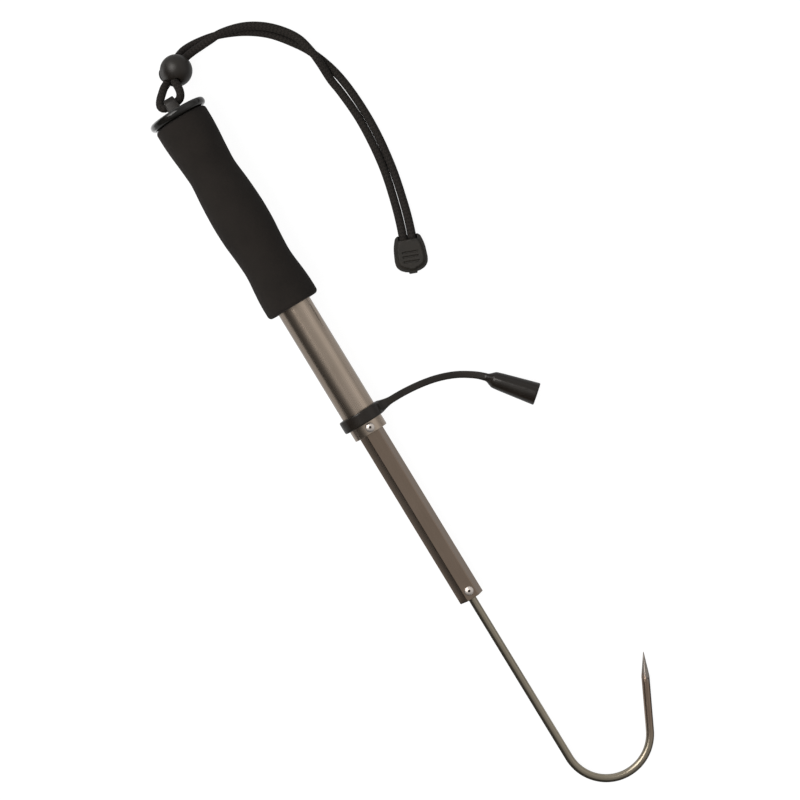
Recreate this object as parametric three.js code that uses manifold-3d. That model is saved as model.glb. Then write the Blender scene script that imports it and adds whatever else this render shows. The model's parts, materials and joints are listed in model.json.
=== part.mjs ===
// A telescopic fishing gaff, lying on its side as it comes to rest on a table.
// A hexagonal inner tube carries the hook and slides in a round outer tube with a foam grip.
// A rubber ring on the outer tube holds a soft socket for the hook's point, and a cord loop
// with a ball lock hangs from the eye on the end cap.
// Lengths are in millimetres. x runs from the end cap's outer face towards the hook,
// y towards the side of the hook's point, and z up from the table.

import * as THREE from 'three';
import { ConvexGeometry } from 'three/addons/geometries/ConvexGeometry.js';
import { mergeVertices } from 'three/addons/utils/BufferGeometryUtils.js';
import Module from 'manifold-3d';

const wasm = await Module();
wasm.setup();

// Fits that many pieces share
const clearance = 0.3;
const overrun = 2;
const mergeTolerance = 1e-4;

// Outer tube
const tubeRadius = 11;
const tubeWall = 1.2;
const tubeLength = 223.8;
const tubeBore = tubeRadius - tubeWall;

// End cap: a flange with a hollow stem that plugs the tube
const capRadius = 18.9;
const capThickness = 4.9;
const capEdge = 2.2;
const capStemLength = 22;
const capStemWall = 2.2;
const capWeb = 1.6;
const eyeSeatRadius = 7.6;
const eyeSeatDepth = 0.2;
const tubeStart = capThickness + clearance;
const tubeEnd = tubeStart + tubeLength;

// Foam grip, with two waists between three swells
const gripRadius = 17.3;
const gripLength = 133.2;
const gripEdge = 1.8;
const gripRings = 30;
const gripSwellShares = [
  [0, 1], [0.074, 0.997], [0.134, 0.971], [0.193, 0.93], [0.252, 0.896], [0.283, 0.885],
  [0.32, 0.902], [0.372, 0.942], [0.431, 0.974], [0.49, 0.996], [0.54, 1], [0.61, 0.982],
  [0.669, 0.943], [0.728, 0.911], [0.765, 0.901], [0.8, 0.912], [0.848, 0.951],
  [0.907, 0.991], [0.95, 1.003], [1, 1],
];

// Lanyard eye: a tapered lug on a stud, with a washer and a nut inside the cap's stem
const eyeHeight = 9.1;
const eyeHoleRadius = 2.95;
const eyeHoleHeight = 4.55;
const eyeCrownWall = 1.6;
const eyeBaseHalf = 5.5;
const eyeBaseThickness = 8.6;
const eyeTopThickness = 5.5;
const studRadius = 2.5;
const studTail = 1.5;
const washerThickness = 1;
const eyeWasherRadius = 5;
const nutAcross = 8;
const nutThickness = 4;

// Hexagonal inner tube
const hexAcross = 14.1;
const hexCorner = 1.2;
const hexWall = 1.2;
const hexInnerCorner = 0.4;
const hexShowing = 118.5;
const hexEnd = tubeEnd + hexShowing;

// Guide bush in the outer tube's mouth
const bushLength = 26;
const bushRecess = 0.5;

// Slide piston on the inner tube's hidden end, with two friction rings and a cross pin
const pistonSocket = 17.4;
const pistonHead = 12;
const pistonVentRadius = 1.5;
const frictionRingRadius = 0.9;
const frictionRingSpan = 4.8;
const frictionRingSides = 6;
const pinRadius = 1.2;
const pinInset = 0.5;
const pinShare = 0.5;

// Hook: round wire with a ground four-sided point, and its plug, washer and nut in the tube
const wireRadius = 2.5;
const bendRadius = 27;
const shankShowing = 115.6;
const bendStart = hexEnd + shankShowing;
const bendAngle = THREE.MathUtils.degToRad(153.5);
const legLength = 48.7;
const pointLength = 16.5;
const pointTipRadius = 0.15;
const plugLength = 24.9;
const plugInset = 0.3;
const hookWasherRadius = 5.2;

// Blind rivets: one holds the bush, one holds the plug
const rivetHeadRadius = 2.9;
const rivetHeadHeight = 1.3;
const rivetShankRadius = 1.6;
const rivetBoreRadius = 0.95;
const mandrelRadius = 0.65;
const mandrelHeadRadius = 1.1;
const mandrelHeadHeight = 0.7;
const mandrelSink = 0.55;
const guideRivetInset = 3.6;
const hookRivetInset = 5.2;

// How the gaff lies: rolled a little towards the hook's point, and turned flats on the tube
const restRoll = THREE.MathUtils.degToRad(2.5);
const flatTurn = THREE.MathUtils.degToRad(3.5);

// Point protector: a rubber ring on the tube, a tether and a flared socket
const ringWall = 2.35;
const ringWidth = 8;
const ringEndInset = 7;
const lugHeight = 3.6;
const lugReach = 6.3;
const lugTipHalf = 2.5;
const tetherHalfWidth = 2.3;
const tetherHalfHeight = 1.6;
const tetherSides = 12;
const tetherSteps = 22;
const socketLength = 33.4;
const socketNeckRadius = 2.4;
const socketShoulder = 6;
const socketShoulderRadius = 5.2;
const socketMouthRadius = 7.1;
const socketMouthWall = 1.6;
const socketBoreDepth = 25;
const socketBoreEndRadius = 3.2;
const socketBoreRound = 1.6;
const socketHeading = THREE.MathUtils.degToRad(40.2);
const tableGap = 0.2;

const tetherReach = 57.8;
const neckHeight = 5.1;

// The tether's route from its root: along the gaff and sideways as shares of its reach,
// and the share that is left of its drop to the socket's neck
const tetherRouteShares = [
  [0, 0, 1], [0.002, 0.137, 0.84], [0.012, 0.265, 0.602], [0.029, 0.391, 0.376], [0.055, 0.516, 0.204],
  [0.093, 0.638, 0.075], [0.144, 0.756, 0], [0.211, 0.867, -0.02], [0.27, 0.946, -0.01],
  [0.322, 1, 0],
];

// Lanyard: one cord, from the clip through the ball lock, round the eye and back
const cordRadius = 2.5;
const cordSides = 10;
const cordSteps = 30;
const loopSteps = 20;
const pinchedRadius = 1.95;
const lowerStrand = [
  [-27.6, 15.8, 7.3], [-29.3, 17.2, 6.1], [-30.8, 19.6, 4.9], [-32.0, 23.0, 3.8],
  [-32.4, 26.4, 3.1], [-32.3, 31.1, 2.7], [-31.0, 40.0, 2.6], [-28.9, 47.8, 2.6],
  [-22.4, 61.7, 2.6], [-13.4, 73.7, 2.6], [-0.5, 84.1, 2.6], [9.8, 90.2, 2.6],
  [29.8, 97.0, 2.6], [62.0, 99.3, 2.6], [93.1, 96.3, 2.6], [119.9, 90.3, 2.7],
  [134.5, 85.5, 3.8], [146.6, 80.7, 3.9],
];
const upperStrand = [
  [-25.7, 19.4, 11.2], [-26.5, 21.5, 10.5], [-27.1, 23.8, 9.8], [-27.8, 28.1, 8.8],
  [-28.3, 35.2, 7.8], [-28.6, 41.2, 7.5], [-28.8, 47.8, 7.9], [-24.9, 63.1, 7.2],
  [-16.2, 76.4, 6.4], [-2.4, 87.1, 6.6], [9.8, 90.2, 7.9], [18.1, 91.0, 7.3],
  [30.6, 91.2, 3.5], [40.0, 92.5, 2.7], [62.0, 93.9, 2.6], [92.2, 90.9, 2.6],
  [118.3, 84.7, 2.7], [132.5, 80.7, 3.8], [144.6, 75.9, 3.9],
];
const eyeLoop = [
  [-19.5, 6.1, 13.0], [-18.9, 4.3, 13.9], [-17.9, 2.7, 15.2], [-16.5, 1.0, 16.8],
  [-14.3, -1.2, 18.3], [-11.6, -3.9, 19.8], [-9.1, -5.7, 20.8], [-7.3, -6.3, 21.5],
  [-5.9, -5.9, 22.1], [-4.9, -4.8, 22.4], [-4.6, -3.4, 22.5], [-4.6, 0, 22.5],
  [-4.6, 3.5, 22.5], [-5.1, 5.9, 22.4], [-6.8, 7.6, 22.0], [-9.1, 8.6, 21.4],
  [-11.8, 9.0, 20.5], [-14.2, 9.1, 19.3], [-16.1, 9.3, 18.0], [-17.6, 9.6, 16.9],
];

// Ball cord lock: a ball with a tunnel for both strands and a sprung button across it
const ballRadius = 9.9;
const ballRows = 18;
const ballPlace = [-22.6, 13.2, 12.5];
const tunnelDirection = new THREE.Vector3(-0.58, 0.706, -0.407);
const buttonDirection = new THREE.Vector3(-0.198, -0.63, -0.745);
const buttonRadius = 4.6;
const buttonProud = 2.3;
const buttonTravel = 1.8;
const buttonFloor = 1.5;
const tunnelHalfWidth = pinchedRadius + 0.55;
const tunnelTop = 5;
const flareStart = 3.8;
const flareEnd = 11.5;
const flareRadius = 3.6;
const flareSide = 1.65;
const flareRise = 3.8;
const pinchedEnd = 6.5;
const pinchedBend = 4;
const pinchedSpread = 0.5;
const pinchedSide = 0.35;
const pinchedSteps = 10;
const lockFloorWall = 1.4;
const lockSpringRadius = 3;
const lockSpringWire = 0.25;
const lockSpringTurns = 2;
const lockSpringSteps = 12;
const lockSpringSides = 6;

// Clip on the cord's two ends: a tray with a pocket, and a lid with cross grooves
const clipPlace = [136.3, 82.0];
const clipHeading = THREE.MathUtils.degToRad(-21.7);
const clipLength = 24;
const clipHalfWidth = 10.2;
const clipTrayHeight = 6.1;
const clipFloor = 1.1;
const clipRim = 2.4;
const clipLidHeight = 1.7;
const clipLidInset = 2;
const clipLidBevel = 0.8;
const clipSlotHalf = 5.8;
const clipPocketShare = 0.68;
const clipGrooveWidth = 1;
const clipGrooveDepth = 0.5;
const clipGrooveHalf = 5;
const clipGrooveShares = [0.42, 0.54, 0.66];
const clipOutlineShares = [
  [0, 0.58], [0.05, 0.75], [0.11, 0.82], [0.3, 0.945], [0.5, 0.99], [0.66, 1],
  [0.78, 0.94], [0.88, 0.74], [0.94, 0.46], [0.955, 0.26], [1, 0.24],
];

const edgeSteps = 4;
const roundSides = 40;
const smallSides = 24;
const wireSides = 12;

const paint = (color, roughness, metalness) =>
  new THREE.MeshStandardMaterial({ color, roughness, metalness });
const anodised = paint(0x7d756b, 0.38, 0.9);
const steel = paint(0x8c857c, 0.3, 1);
const rivetMetal = paint(0xd7d0ca, 0.35, 0.9);
const foam = paint(0x2c2926, 0.95, 0);
const glossBlack = paint(0x232320, 0.25, 0);
const eyeMetal = paint(0x3e3a36, 0.45, 0.3);
const rubber = paint(0x2c2b27, 0.6, 0);
const nylon = paint(0x38352f, 0.6, 0);
const ballPlastic = paint(0x302d29, 0.45, 0);
const cordBlack = paint(0x262421, 0.9, 0);
const springSteel = paint(0xb8b5b0, 0.3, 1);

// Turns a closed three.js geometry into a solid for cutting and joining
function solid(geometry) {
  const bare = geometry.clone();
  bare.deleteAttribute('normal');
  bare.deleteAttribute('uv');
  const merged = mergeVertices(bare, mergeTolerance);
  return new wasm.Manifold(new wasm.Mesh({
    numProp: 3,
    vertProperties: new Float32Array(merged.attributes.position.array),
    triVerts: new Uint32Array(merged.index.array),
  }));
}

function geometryOf(body) {
  const mesh = body.getMesh();
  const geometry = new THREE.BufferGeometry();
  geometry.setAttribute('position', new THREE.BufferAttribute(mesh.vertProperties, 3));
  geometry.setIndex(new THREE.BufferAttribute(mesh.triVerts, 1));
  geometry.computeVertexNormals();
  return geometry;
}

const joined = (first, ...others) => others.reduce((all, next) => all.add(next), first);
const cut = (first, ...others) => others.reduce((left, next) => left.subtract(next), first);

function piece(name, body, material, parent) {
  const mesh = new THREE.Mesh(geometryOf(body), material);
  mesh.name = name;
  parent.add(mesh);
  return mesh;
}

// A solid turned about the x axis from a closed profile of [x, radius] points
function turned(profile, sides) {
  const points = profile.map(([x, r]) => new THREE.Vector2(r, x));
  return solid(new THREE.LatheGeometry(points, sides).rotateZ(-Math.PI / 2));
}

const rod = (from, to, radius, sides) =>
  turned([[from, 0], [from, radius], [to, radius], [to, 0]], sides);

const sleeve = (from, to, inner, outer, sides) =>
  turned([[from, inner], [from, outer], [to, outer], [to, inner], [from, inner]], sides);

// An upright cylinder at one place along the axis
const peg = (x, from, to, radius) => solid(
  new THREE.CylinderGeometry(radius, radius, to - from, smallSides)
    .rotateX(Math.PI / 2).translate(x, 0, (from + to) / 2));

function box(from, to) {
  const size = to.map((value, axis) => value - from[axis]);
  const middle = to.map((value, axis) => (value + from[axis]) / 2);
  return solid(new THREE.BoxGeometry(...size).translate(...middle));
}

// Profile points of a quarter round, turning towards +x from its starting direction
function quarter(x, r, radius, start, steps) {
  return Array.from({ length: steps + 1 }, (_, k) => {
    const angle = start - (k / steps) * (Math.PI / 2);
    return [x + radius * Math.cos(angle), r + radius * Math.sin(angle)];
  });
}

// A hexagonal bar along x with a flat on top and rounded corners
function hexBar(from, to, across, corner) {
  const reach = (across / 2 - corner) / Math.cos(Math.PI / 6);
  const outline = new THREE.Shape();
  for (let k = 0; k < 6; k++) {
    const middle = (k * Math.PI) / 3;
    outline.absarc(reach * Math.cos(middle), reach * Math.sin(middle), corner,
      middle - Math.PI / 6, middle + Math.PI / 6, false);
  }
  return solid(new THREE.ExtrudeGeometry(outline, {
    depth: to - from, bevelEnabled: false, curveSegments: 4,
  }).rotateX(Math.PI / 2).rotateZ(Math.PI / 2).translate(from, 0, 0));
}

// A closed tube of any oval section through a row of points, with flat ends
function sweep(points, halfWidth, halfHeight, sides, up) {
  const places = [];
  const last = points.length - 1;
  points.forEach((point, k) => {
    const ahead = points[Math.min(k + 1, last)].clone().sub(points[Math.max(k - 1, 0)]).normalize();
    const side = ahead.clone().cross(up).normalize();
    const over = side.clone().cross(ahead).normalize();
    for (let j = 0; j < sides; j++) {
      const angle = (j / sides) * 2 * Math.PI;
      places.push(point.clone()
        .addScaledVector(side, halfWidth * Math.cos(angle))
        .addScaledVector(over, halfHeight * Math.sin(angle)));
    }
  });
  places.push(points[0].clone(), points[last].clone());
  const faces = [];
  for (let k = 0; k < last; k++) {
    for (let j = 0; j < sides; j++) {
      const a = k * sides + j;
      const b = k * sides + (j + 1) % sides;
      faces.push(a, b, b + sides, a, b + sides, a + sides);
    }
  }
  const start = places.length - 2;
  for (let j = 0; j < sides; j++) {
    const next = (j + 1) % sides;
    faces.push(start, next, j, start + 1, last * sides + j, last * sides + next);
  }
  const geometry = new THREE.BufferGeometry().setFromPoints(places);
  geometry.setIndex(faces);
  const body = solid(geometry);
  return body.volume() > 0 ? body : solid(geometry.clone().setIndex(faces.toReversed()));
}

// A cord's plain tube along a smooth curve through its chosen points
function cordTube(points, radius, steps) {
  const path = new THREE.CatmullRomCurve3(points.map((p) => new THREE.Vector3(...p)), false, 'centripetal');
  const section = new THREE.Shape();
  for (let j = 0; j < cordSides; j++) {
    const angle = (j / cordSides) * 2 * Math.PI;
    section[j ? 'lineTo' : 'moveTo'](radius * Math.cos(angle), radius * Math.sin(angle));
  }
  return solid(new THREE.ExtrudeGeometry(section, { steps, extrudePath: path, bevelEnabled: false }));
}

// The gaff lies on the grip's lower rim and on the hook's bend, which sets its pitch and height.
const gripStart = tubeStart;
const gripEnd = gripStart + gripLength;
const rollDrop = Math.sin(restRoll);
let slope = 0;
for (let k = 0; k < 20; k++) {
  const rimHeight = (gripRadius - gripEdge) * Math.sqrt(1 - slope ** 2) + gripEdge;
  const bendDrop = bendRadius * (rollDrop + Math.hypot(slope, rollDrop)) + wireRadius;
  slope = (rimHeight - bendDrop) / (bendStart - gripEnd + gripEdge);
}
const restPitch = Math.asin(slope);
const capHeight = (gripRadius - gripEdge) * Math.cos(restPitch) + gripEdge
  + (gripEnd - gripEdge) * slope;

const group = new THREE.Group();
const gaff = new THREE.Group();
group.add(gaff);
const pitched = new THREE.Group();
pitched.position.z = capHeight;
pitched.rotation.y = restPitch;
gaff.add(pitched);
const rolled = new THREE.Group();
rolled.rotation.x = -restRoll;
pitched.add(rolled);
const flats = new THREE.Group();
flats.rotation.x = -flatTurn;
rolled.add(flats);

// Outer tube with the bush rivet's hole
const guideRivetX = tubeEnd - guideRivetInset;
const rivetHole = rivetShankRadius + clearance;
piece('outer_tube', cut(
  sleeve(tubeStart, tubeEnd, tubeBore, tubeRadius, roundSides),
  peg(guideRivetX, 0, tubeRadius + overrun, rivetHole),
), anodised, flats);

// End cap: rounded flange with a shallow seat for the eye, hollow stem and the stud's hole
const stemRadius = tubeBore - clearance;
const webInner = capThickness + capWeb;
const stemEnd = tubeStart + capStemLength;
const capProfile = [
  [eyeSeatDepth, 0], [eyeSeatDepth, eyeSeatRadius], [0, eyeSeatRadius],
  ...quarter(capEdge, capRadius - capEdge, capEdge, Math.PI, edgeSteps),
  ...quarter(capThickness - capEdge, capRadius - capEdge, capEdge, Math.PI / 2, edgeSteps),
  [capThickness, stemRadius],
  [stemEnd, stemRadius], [stemEnd, stemRadius - capStemWall],
  [webInner, stemRadius - capStemWall], [webInner, 0],
];
piece('end_cap', cut(
  turned(capProfile, roundSides),
  rod(-overrun, webInner + overrun, studRadius + clearance, smallSides),
), glossBlack, rolled);

// Grip: a turned sleeve whose outside follows the swells
const swell = new THREE.SplineCurve(gripSwellShares.map(([x, r]) => new THREE.Vector2(
  gripStart + x * gripLength, r * gripRadius)));
const gripOutside = [];
for (let k = 0; k <= gripRings; k++) {
  const { x, y } = swell.getPoint(k / gripRings);
  const inset = Math.min(x - gripStart, gripEnd - x);
  if (inset > gripEdge) gripOutside.push([x, y]);
}
piece('grip', turned([
  [gripStart, tubeRadius + clearance],
  ...quarter(gripStart + gripEdge, gripRadius - gripEdge, gripEdge, Math.PI, edgeSteps),
  ...gripOutside,
  ...quarter(gripEnd - gripEdge, gripRadius - gripEdge, gripEdge, Math.PI / 2, edgeSteps),
  [gripEnd, tubeRadius + clearance],
  [gripStart, tubeRadius + clearance],
], roundSides), foam, rolled);

// Lanyard eye: a lug with a round crown, tapered sideways, with its hole running across
const eyeBase = eyeSeatDepth - clearance;
const eyeHoleX = eyeBase - eyeHoleHeight;
const crownRadius = eyeHoleRadius + eyeCrownWall;
const lugSide = new THREE.Shape();
lugSide.moveTo(eyeBase, -eyeBaseHalf);
lugSide.lineTo(eyeHoleX, -crownRadius);
lugSide.absarc(eyeHoleX, 0, crownRadius, -Math.PI / 2, -Math.PI * 1.5, true);
lugSide.lineTo(eyeBase, eyeBaseHalf);
const lugTop = new THREE.Shape([
  new THREE.Vector2(eyeBase + overrun, -eyeBaseThickness / 2),
  new THREE.Vector2(eyeBase + overrun, eyeBaseThickness / 2),
  new THREE.Vector2(eyeBase, eyeBaseThickness / 2),
  new THREE.Vector2(eyeBase - eyeHeight, eyeTopThickness / 2),
  new THREE.Vector2(eyeBase - eyeHeight - overrun, eyeTopThickness / 2),
  new THREE.Vector2(eyeBase - eyeHeight - overrun, -eyeTopThickness / 2),
  new THREE.Vector2(eyeBase - eyeHeight, -eyeTopThickness / 2),
  new THREE.Vector2(eyeBase, -eyeBaseThickness / 2),
]);
const lugBlank = solid(new THREE.ExtrudeGeometry(lugSide, {
  depth: eyeBaseThickness, bevelEnabled: false, curveSegments: 8,
}).translate(0, 0, -eyeBaseThickness / 2).rotateX(Math.PI / 2));
const lugTaper = solid(new THREE.ExtrudeGeometry(lugTop, { depth: 4 * eyeBaseHalf, bevelEnabled: false })
  .translate(0, 0, -2 * eyeBaseHalf));
const eyeHole = solid(new THREE.CylinderGeometry(eyeHoleRadius, eyeHoleRadius,
  eyeBaseThickness + overrun, smallSides).translate(eyeHoleX, 0, 0));
const washerX = webInner + clearance;
const nutX = washerX + washerThickness + clearance;
const studEnd = nutX + nutThickness + studTail;
piece('lanyard_eye', joined(
  cut(lugBlank.intersect(lugTaper), eyeHole),
  rod(eyeBase - clearance, studEnd, studRadius, smallSides),
), eyeMetal, rolled);
piece('eye_washer', sleeve(washerX, washerX + washerThickness, studRadius + clearance,
  eyeWasherRadius, smallSides), steel, rolled);
piece('eye_nut', cut(
  hexBar(nutX, nutX + nutThickness, nutAcross, hexInnerCorner),
  rod(nutX - overrun, nutX + nutThickness + overrun, studRadius + clearance, smallSides),
), steel, rolled);

// Guide bush: round outside, hexagonal bore for the inner tube
const bushEnd = tubeEnd - bushRecess;
const bushStart = bushEnd - bushLength;
const guideBore = hexAcross + 2 * clearance;
piece('guide_bush', cut(
  rod(bushStart, bushEnd, stemRadius, roundSides),
  hexBar(bushStart - overrun, bushEnd + overrun, guideBore, hexCorner + clearance),
  peg(guideRivetX, 0, tubeRadius, rivetHole),
), nylon, flats);

// Slide piston: its shoulder meets the bush when the gaff is drawn out
const pistonEnd = bushStart - clearance;
const socketStart = pistonEnd - pistonSocket;
const pistonStart = socketStart - pistonHead;
const pinX = socketStart + pinShare * pistonSocket;
const ringMiddle = stemRadius - frictionRingRadius + clearance / 2;
const firstRingX = pistonStart + (pistonHead - frictionRingSpan) / 2;
const ringPlaces = [firstRingX, firstRingX + frictionRingSpan];
const groove = (x) => sleeve(x - frictionRingRadius - clearance, x + frictionRingRadius + clearance,
  ringMiddle - frictionRingRadius - clearance, tubeRadius, roundSides);
piece('slide_piston', cut(
  rod(pistonStart, pistonEnd, stemRadius, roundSides),
  hexBar(socketStart, pistonEnd + overrun, guideBore, hexCorner + clearance),
  rod(pistonStart - overrun, socketStart + overrun, pistonVentRadius, smallSides),
  peg(pinX, -tubeRadius, tubeRadius, pinRadius + clearance),
  ...ringPlaces.map(groove),
), nylon, flats);
ringPlaces.forEach((x, k) => piece(`friction_ring_${k + 1}`,
  solid(new THREE.TorusGeometry(ringMiddle, frictionRingRadius, frictionRingSides, roundSides)
    .rotateY(Math.PI / 2).translate(x, 0, 0)), rubber, flats));
piece('piston_pin', peg(pinX, -(stemRadius - pinInset), stemRadius - pinInset, pinRadius), steel, flats);

// Inner tube, with holes for the piston's pin and the plug's rivet
const hookRivetX = hexEnd - hookRivetInset;
const innerStart = socketStart + clearance;
const hexBore = hexAcross - 2 * hexWall;
piece('inner_tube', cut(
  hexBar(innerStart, hexEnd, hexAcross, hexCorner),
  hexBar(innerStart - overrun, hexEnd + overrun, hexBore, hexInnerCorner),
  peg(pinX, -tubeRadius, tubeRadius, pinRadius + clearance),
  peg(hookRivetX, 0, tubeRadius, rivetHole),
), anodised, flats);

// Hook plug, bonded in the inner tube's mouth
const plugEnd = hexEnd - plugInset;
const plugStart = plugEnd - plugLength;
piece('hook_plug', cut(
  hexBar(plugStart, plugEnd, hexBore - 2 * clearance, hexInnerCorner),
  rod(plugStart - overrun, plugEnd + overrun, wireRadius + clearance, smallSides),
  peg(hookRivetX, 0, tubeRadius, rivetHole),
), nylon, flats);
const hookWasherX = plugStart - clearance - washerThickness;
const hookNutX = hookWasherX - clearance - nutThickness;
piece('hook_washer', sleeve(hookWasherX, hookWasherX + washerThickness, wireRadius + clearance,
  hookWasherRadius, smallSides), steel, flats);
piece('hook_nut', cut(
  hexBar(hookNutX, hookNutX + nutThickness, nutAcross, hexInnerCorner),
  rod(hookNutX - overrun, hookNutX + nutThickness + overrun, wireRadius + clearance, smallSides),
), steel, flats);

// Hook: shank, bend and leg in one wire, with its end ground to a four-sided point
const up = new THREE.Vector3(0, 0, 1);
const shankStart = hookNutX - studTail;
const bendSteps = 20;
const hookLine = [new THREE.Vector3(shankStart, 0, 0)];
for (let k = 0; k <= bendSteps; k++) {
  const angle = (k / bendSteps) * bendAngle - Math.PI / 2;
  hookLine.push(new THREE.Vector3(bendStart + bendRadius * Math.cos(angle),
    bendRadius + bendRadius * Math.sin(angle), 0));
}
const legDirection = new THREE.Vector3(Math.cos(bendAngle), Math.sin(bendAngle), 0);
const pointTip = hookLine.at(-1).clone().addScaledVector(legDirection, legLength);
hookLine.push(pointTip);
const pointStart = pointTip.clone().addScaledVector(legDirection, -pointLength);
const alongLeg = new THREE.Quaternion().setFromUnitVectors(new THREE.Vector3(0, 1, 0), legDirection);
const grind = solid(new THREE.CylinderGeometry(pointTipRadius * Math.SQRT2, wireRadius * Math.SQRT2,
  pointLength, 4).applyQuaternion(alongLeg)
  .translate(...pointStart.clone().lerp(pointTip, 1 / 2).toArray()));
const wire = sweep(hookLine, wireRadius, wireRadius, wireSides, up);
const pointZone = solid(new THREE.CylinderGeometry(2 * wireRadius, 2 * wireRadius, 2 * pointLength, wireSides)
  .applyQuaternion(alongLeg)
  .translate(...pointTip.toArray()));
piece('hook', joined(wire.subtract(pointZone), wire.intersect(grind)), steel, rolled);

// Blind rivets: a domed head on a hollow shank, with the broken stem of its mandrel inside
function blindRivet(name, x, seat, blind) {
  const sink = rivetHeadHeight * mandrelSink;
  const dome = [];
  for (let k = 0; k <= edgeSteps; k++) {
    const angle = (k / edgeSteps) * (Math.PI / 2);
    dome.push([seat + rivetHeadHeight * Math.sin(angle), rivetHeadRadius * Math.cos(angle)]);
  }
  const bodyProfile = [
    [blind, rivetBoreRadius], [blind, rivetShankRadius], [seat, rivetShankRadius],
    ...dome.filter(([, r]) => r > rivetBoreRadius),
    [seat + rivetHeadHeight, rivetBoreRadius], [blind, rivetBoreRadius],
  ];
  const upright = (profile) => new THREE.LatheGeometry(
    profile.map(([z, r]) => new THREE.Vector2(r, z)), smallSides).rotateX(Math.PI / 2).translate(x, 0, 0);
  piece(name, solid(upright(bodyProfile)), rivetMetal, flats);
  const headTop = blind - clearance;
  piece(`${name}_mandrel`, solid(upright([
    [headTop - mandrelHeadHeight, 0], [headTop - mandrelHeadHeight, mandrelHeadRadius],
    [headTop, mandrelHeadRadius], [headTop, mandrelRadius],
    [seat + sink, mandrelRadius], [seat + sink, 0],
  ])), steel, flats);
}
const blindDepth = mandrelHeadHeight + 2 * clearance;
blindRivet('guide_rivet', guideRivetX, tubeRadius + clearance, guideBore / 2 + blindDepth);
blindRivet('hook_rivet', hookRivetX, hexAcross / 2 + clearance, wireRadius + clearance + blindDepth);

// Protector ring with the root that the tether grows from
const ringEnd = tubeEnd - ringEndInset;
const ringStart = ringEnd - ringWidth;
const ringRadius = tubeRadius + clearance + ringWall;
const rootX = (ringStart + ringEnd) / 2;
const lugTip = tubeRadius + lugReach;
const rootOutline = new THREE.Shape([
  new THREE.Vector2(ringStart, tubeRadius),
  new THREE.Vector2(ringEnd, tubeRadius),
  new THREE.Vector2(ringEnd, ringRadius),
  new THREE.Vector2(rootX + lugTipHalf, lugTip),
  new THREE.Vector2(rootX - lugTipHalf, lugTip),
  new THREE.Vector2(ringStart, ringRadius),
]);
const root = solid(new THREE.ExtrudeGeometry(rootOutline, { depth: lugHeight, bevelEnabled: false })
  .translate(0, 0, -lugHeight / 2));
piece('protector_ring', cut(
  joined(rod(ringStart, ringEnd, ringRadius, roundSides), root),
  rod(ringStart - overrun, ringEnd + overrun, tubeRadius + clearance, roundSides),
), rubber, pitched);

// Tether: it bends at a round root next to the ring, and runs down to the socket on the table
const rootY = lugTip + clearance + tetherHalfWidth;
const axisHeight = (x) => capHeight - x * slope;
const rootHeight = axisHeight(rootX);
const tetherPlaces = tetherRouteShares.map(([along, side, drop]) => {
  const x = rootX + along * tetherReach;
  const height = neckHeight + drop * (rootHeight - neckHeight);
  return new THREE.Vector3(x, rootY + side * tetherReach, height - axisHeight(x));
});
const tetherPath = new THREE.CatmullRomCurve3(tetherPlaces, false, 'centripetal');
const tetherLine = tetherPath.getSpacedPoints(tetherSteps);
const tetherRootPin = solid(new THREE.CylinderGeometry(tetherHalfWidth, tetherHalfWidth,
  2 * tetherHalfHeight, smallSides).rotateX(Math.PI / 2).translate(rootX, rootY, 0));
piece('protector_tether', joined(
  sweep(tetherLine, tetherHalfWidth, tetherHalfHeight, tetherSides, up), tetherRootPin,
), rubber, pitched);

// Socket: a flared blind tube lying on the table, its mouth away from the ring
const mouthRise = socketMouthRadius + tableGap - neckHeight;
const socket = new THREE.Group();
socket.position.copy(tetherPlaces.at(-1));
socket.rotation.set(0, -Math.asin(mouthRise / socketLength) - restPitch * Math.cos(socketHeading),
  socketHeading, 'ZYX');
pitched.add(socket);
const boreEnd = socketLength - socketBoreDepth;
piece('protector_socket', turned([
  [clearance, 0], [clearance, socketNeckRadius],
  [socketShoulder / 3, socketNeckRadius + (socketShoulderRadius - socketNeckRadius) / 4],
  [socketShoulder * 3 / 4, socketShoulderRadius - (socketShoulderRadius - socketNeckRadius) / 8],
  [socketShoulder, socketShoulderRadius],
  [socketLength, socketMouthRadius],
  [socketLength, socketMouthRadius - socketMouthWall],
  [boreEnd + socketBoreRound, socketBoreEndRadius],
  [boreEnd, socketBoreEndRadius - socketBoreRound],
  [boreEnd, 0],
], smallSides), rubber, socket);

// Lanyard cord: two free strands, the loop round the eye, and the pinched runs in the lock
const lanyard = new THREE.Group();
gaff.add(lanyard);
piece('lanyard_strand_lower', cordTube(lowerStrand, cordRadius, cordSteps), cordBlack, lanyard);
piece('lanyard_strand_upper', cordTube(upperStrand, cordRadius, cordSteps), cordBlack, lanyard);
piece('lanyard_eye_loop', cordTube(eyeLoop, cordRadius, loopSteps), cordBlack, lanyard);

// Ball lock, in a frame of its own: x along the tunnel, z along the button
const lock = new THREE.Group();
const lockX = tunnelDirection.clone().normalize();
const lockZ = buttonDirection.clone().addScaledVector(lockX, -buttonDirection.dot(lockX)).normalize();
const lockY = lockZ.clone().cross(lockX);
lock.quaternion.setFromRotationMatrix(new THREE.Matrix4().makeBasis(lockX, lockY, lockZ));
lock.position.set(...ballPlace);
lanyard.add(lock);

const pinchedTop = tunnelTop - clearance - pinchedRadius;
const pinchedBottom = pinchedTop - 2 * pinchedRadius - clearance;
const pinchedMiddle = (pinchedTop + pinchedBottom) / 2;
const buttonEdge = pinchedBottom - pinchedRadius - clearance;
const buttonTunnelTop = tunnelTop + buttonTravel + clearance;
const tunnelBottom = buttonEdge - buttonTravel;
const buttonBottom = buttonEdge - buttonFloor;
const lockFloor = -ballRadius + lockFloorWall;
const buttonTop = ballRadius + buttonProud;

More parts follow.
